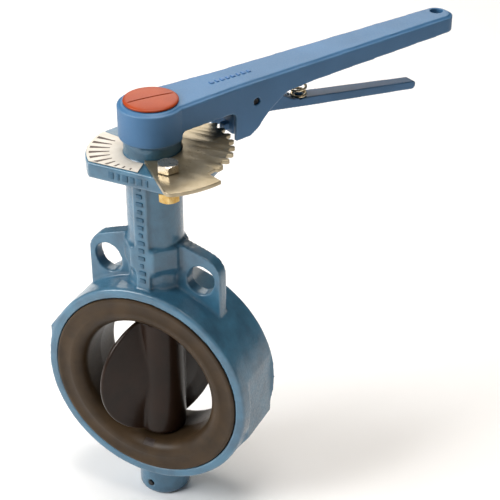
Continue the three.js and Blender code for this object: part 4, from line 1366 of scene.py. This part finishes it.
@dataclass
class Studio:
    """Pale floor, soft lights and the camera."""

    focal: float = 103.75
    sensor: float = 36.0
    across: Sequence[float] = (0.9030, 0.4296, 0.0)
    up: Sequence[float] = (-0.2251, 0.4732, 0.8517)
    back: Sequence[float] = (0.3659, -0.7691, 0.5240)
    stand: Sequence[float] = (0.06323, 0.08352, 1.0278)
    target: Sequence[float] = (0.03, 0.0, 0.04)
    floor_size: float = 12000.0
    floor_depth: float = 20.0

    def floor(self) -> None:
        """Lays the pale floor under the boss."""
        low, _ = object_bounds()
        sheet = block((self.floor_size, self.floor_size, self.floor_depth),
                      (0, 0, low[2] / MM - self.floor_depth / 2 - 0.2))
        floor = make_object("studio_floor", sheet)
        paper = Finish("studio_paper", "", "fbfcfd", "f9fafb", 0.9, 0.02, 0.0, 3.0, 200.0, 0.01)
        floor.data.materials.append(paper.material())
        floor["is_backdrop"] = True

    def light(self, name: str, place: Sequence[float], size: float, power: float, tint: str) -> None:
        """Hangs one soft box that faces the valve.

        Args:
            name: Its name.
            place: Where it hangs, in metres.
            size: Side of the box in metres.
            power: Its power in watts.
            tint: Its colour.
        """
        lamp = bpy.data.lights.new(name, "AREA")
        lamp.size = size
        lamp.energy = power
        lamp.color = linear(tint)[:3]
        holder = bpy.data.objects.new(name, lamp)
        holder.location = place
        aim = Vector(self.target) - Vector(place)
        holder.rotation_euler = aim.to_track_quat("-Z", "Y").to_euler()
        holder.visible_camera = False
        bpy.context.scene.collection.objects.link(holder)

    def room(self) -> None:
        """Fills the room with a dim warm grey, a little lighter overhead."""
        world = bpy.data.worlds.new("studio_room")
        world.use_nodes = True
        tree = world.node_tree
        back = tree.nodes["Background"]
        way = add_node(tree, "ShaderNodeTexCoord")
        height = add_node(tree, "ShaderNodeSeparateXYZ", None, {0: way.outputs["Generated"]})
        ramp = add_node(tree, "ShaderNodeValToRGB", None, {0: height.outputs["Z"]})
        stops = ramp.color_ramp.elements
        stops[0].color = linear("2e2822")
        stops[1].position, stops[1].color = 0.95, linear("7d7771")
        for position, code in ((0.3, "3a322a"), (0.6, "443b32"), (0.8, "5a5148")):
            stops.new(position).color = linear(code)
        tree.links.new(ramp.outputs[0], back.inputs["Color"])
        back.inputs["Strength"].default_value = 1.0
        bpy.context.scene.world = world
        bpy.context.scene.view_settings.view_transform = "Standard"

    def camera(self) -> None:
        """Stands the camera where the valve is seen from above its right front."""
        axes = [Vector(axis) for axis in (self.across, self.up, self.back)]
        place = sum((axis * length for axis, length in zip(axes, self.stand)), Vector())
        lens = bpy.data.cameras.new("studio_camera")
        lens.lens = self.focal
        lens.sensor_width = self.sensor
        holder = bpy.data.objects.new("studio_camera", lens)
        rows = [(*(axis[i] for axis in axes), place[i]) for i in range(3)]
        holder.matrix_world = Matrix((*rows, (0, 0, 0, 1)))
        bpy.context.scene.collection.objects.link(holder)
        bpy.context.scene.camera = holder

    def build(self) -> None:
        """Sets up the studio."""
        self.floor()
        self.room()
        self.light("key_box", (-1.0, -0.95, 0.95), 0.9, 29, "ffffff")
        self.light("back_box", (-0.73, 1.54, 1.15), 1.3, 14, "fffaf2")
        self.light("top_box", (0.1, 0.1, 1.75), 0.9, 24, "fffaf4")
        self.light("low_reflector", (1.4, -0.9, 0.15), 0.8, 3, "f6f9ff")
        self.camera()


# The boss lock pin is near black: painted shade for its hole.
KEPT_NODES = {
    "neck_bushing_upper": ACETAL, "neck_bushing_lower": ACETAL, "boss_bushing": ACETAL,
    "stem_seal_upper": SEAL_RUBBER, "stem_seal_lower": SEAL_RUBBER, "boss_lock_pin": PIN_HOLE_SHADE,
    "upper_stem": STEM_STEEL, "lower_stem": STEM_STEEL, "lever_washer": STEM_STEEL, "lever_screw": ZINC_BOLT,
}


def main() -> None:
    """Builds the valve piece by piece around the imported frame."""
    logging.basicConfig(level=logging.INFO, format="%(name)s: %(message)s")
    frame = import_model()
    squeeze = next(j for j in frame["record"]["behaviour"]["joints"] if j["name"] == "trigger_squeeze")
    turn = Matrix.Rotation(math.atan2(squeeze["axis"][0], -squeeze["axis"][1]), 4, "Z")
    Studio().build()
    for name, finish in KEPT_NODES.items():
        dress(frame["nodes"][name], finish)
    body = BodyCasting()
    body.build()
    body.marks()
    liner = SeatLiner()
    liner.build()
    liner.stamp()
    plate = NotchPlate()
    plate.build()
    plate.label()
    for place in ("front", "rear"):
        HexFastener(place).build()
    Disc(turn).build()
    lever = LeverHandle(turn)
    lever.build()
    lever.marks()
    HubCap(turn).build()
    trigger = Trigger(turn)
    trigger.build()
    trigger.spring(squeeze)
    trigger.pin()


if __name__ == "__main__":
    main()
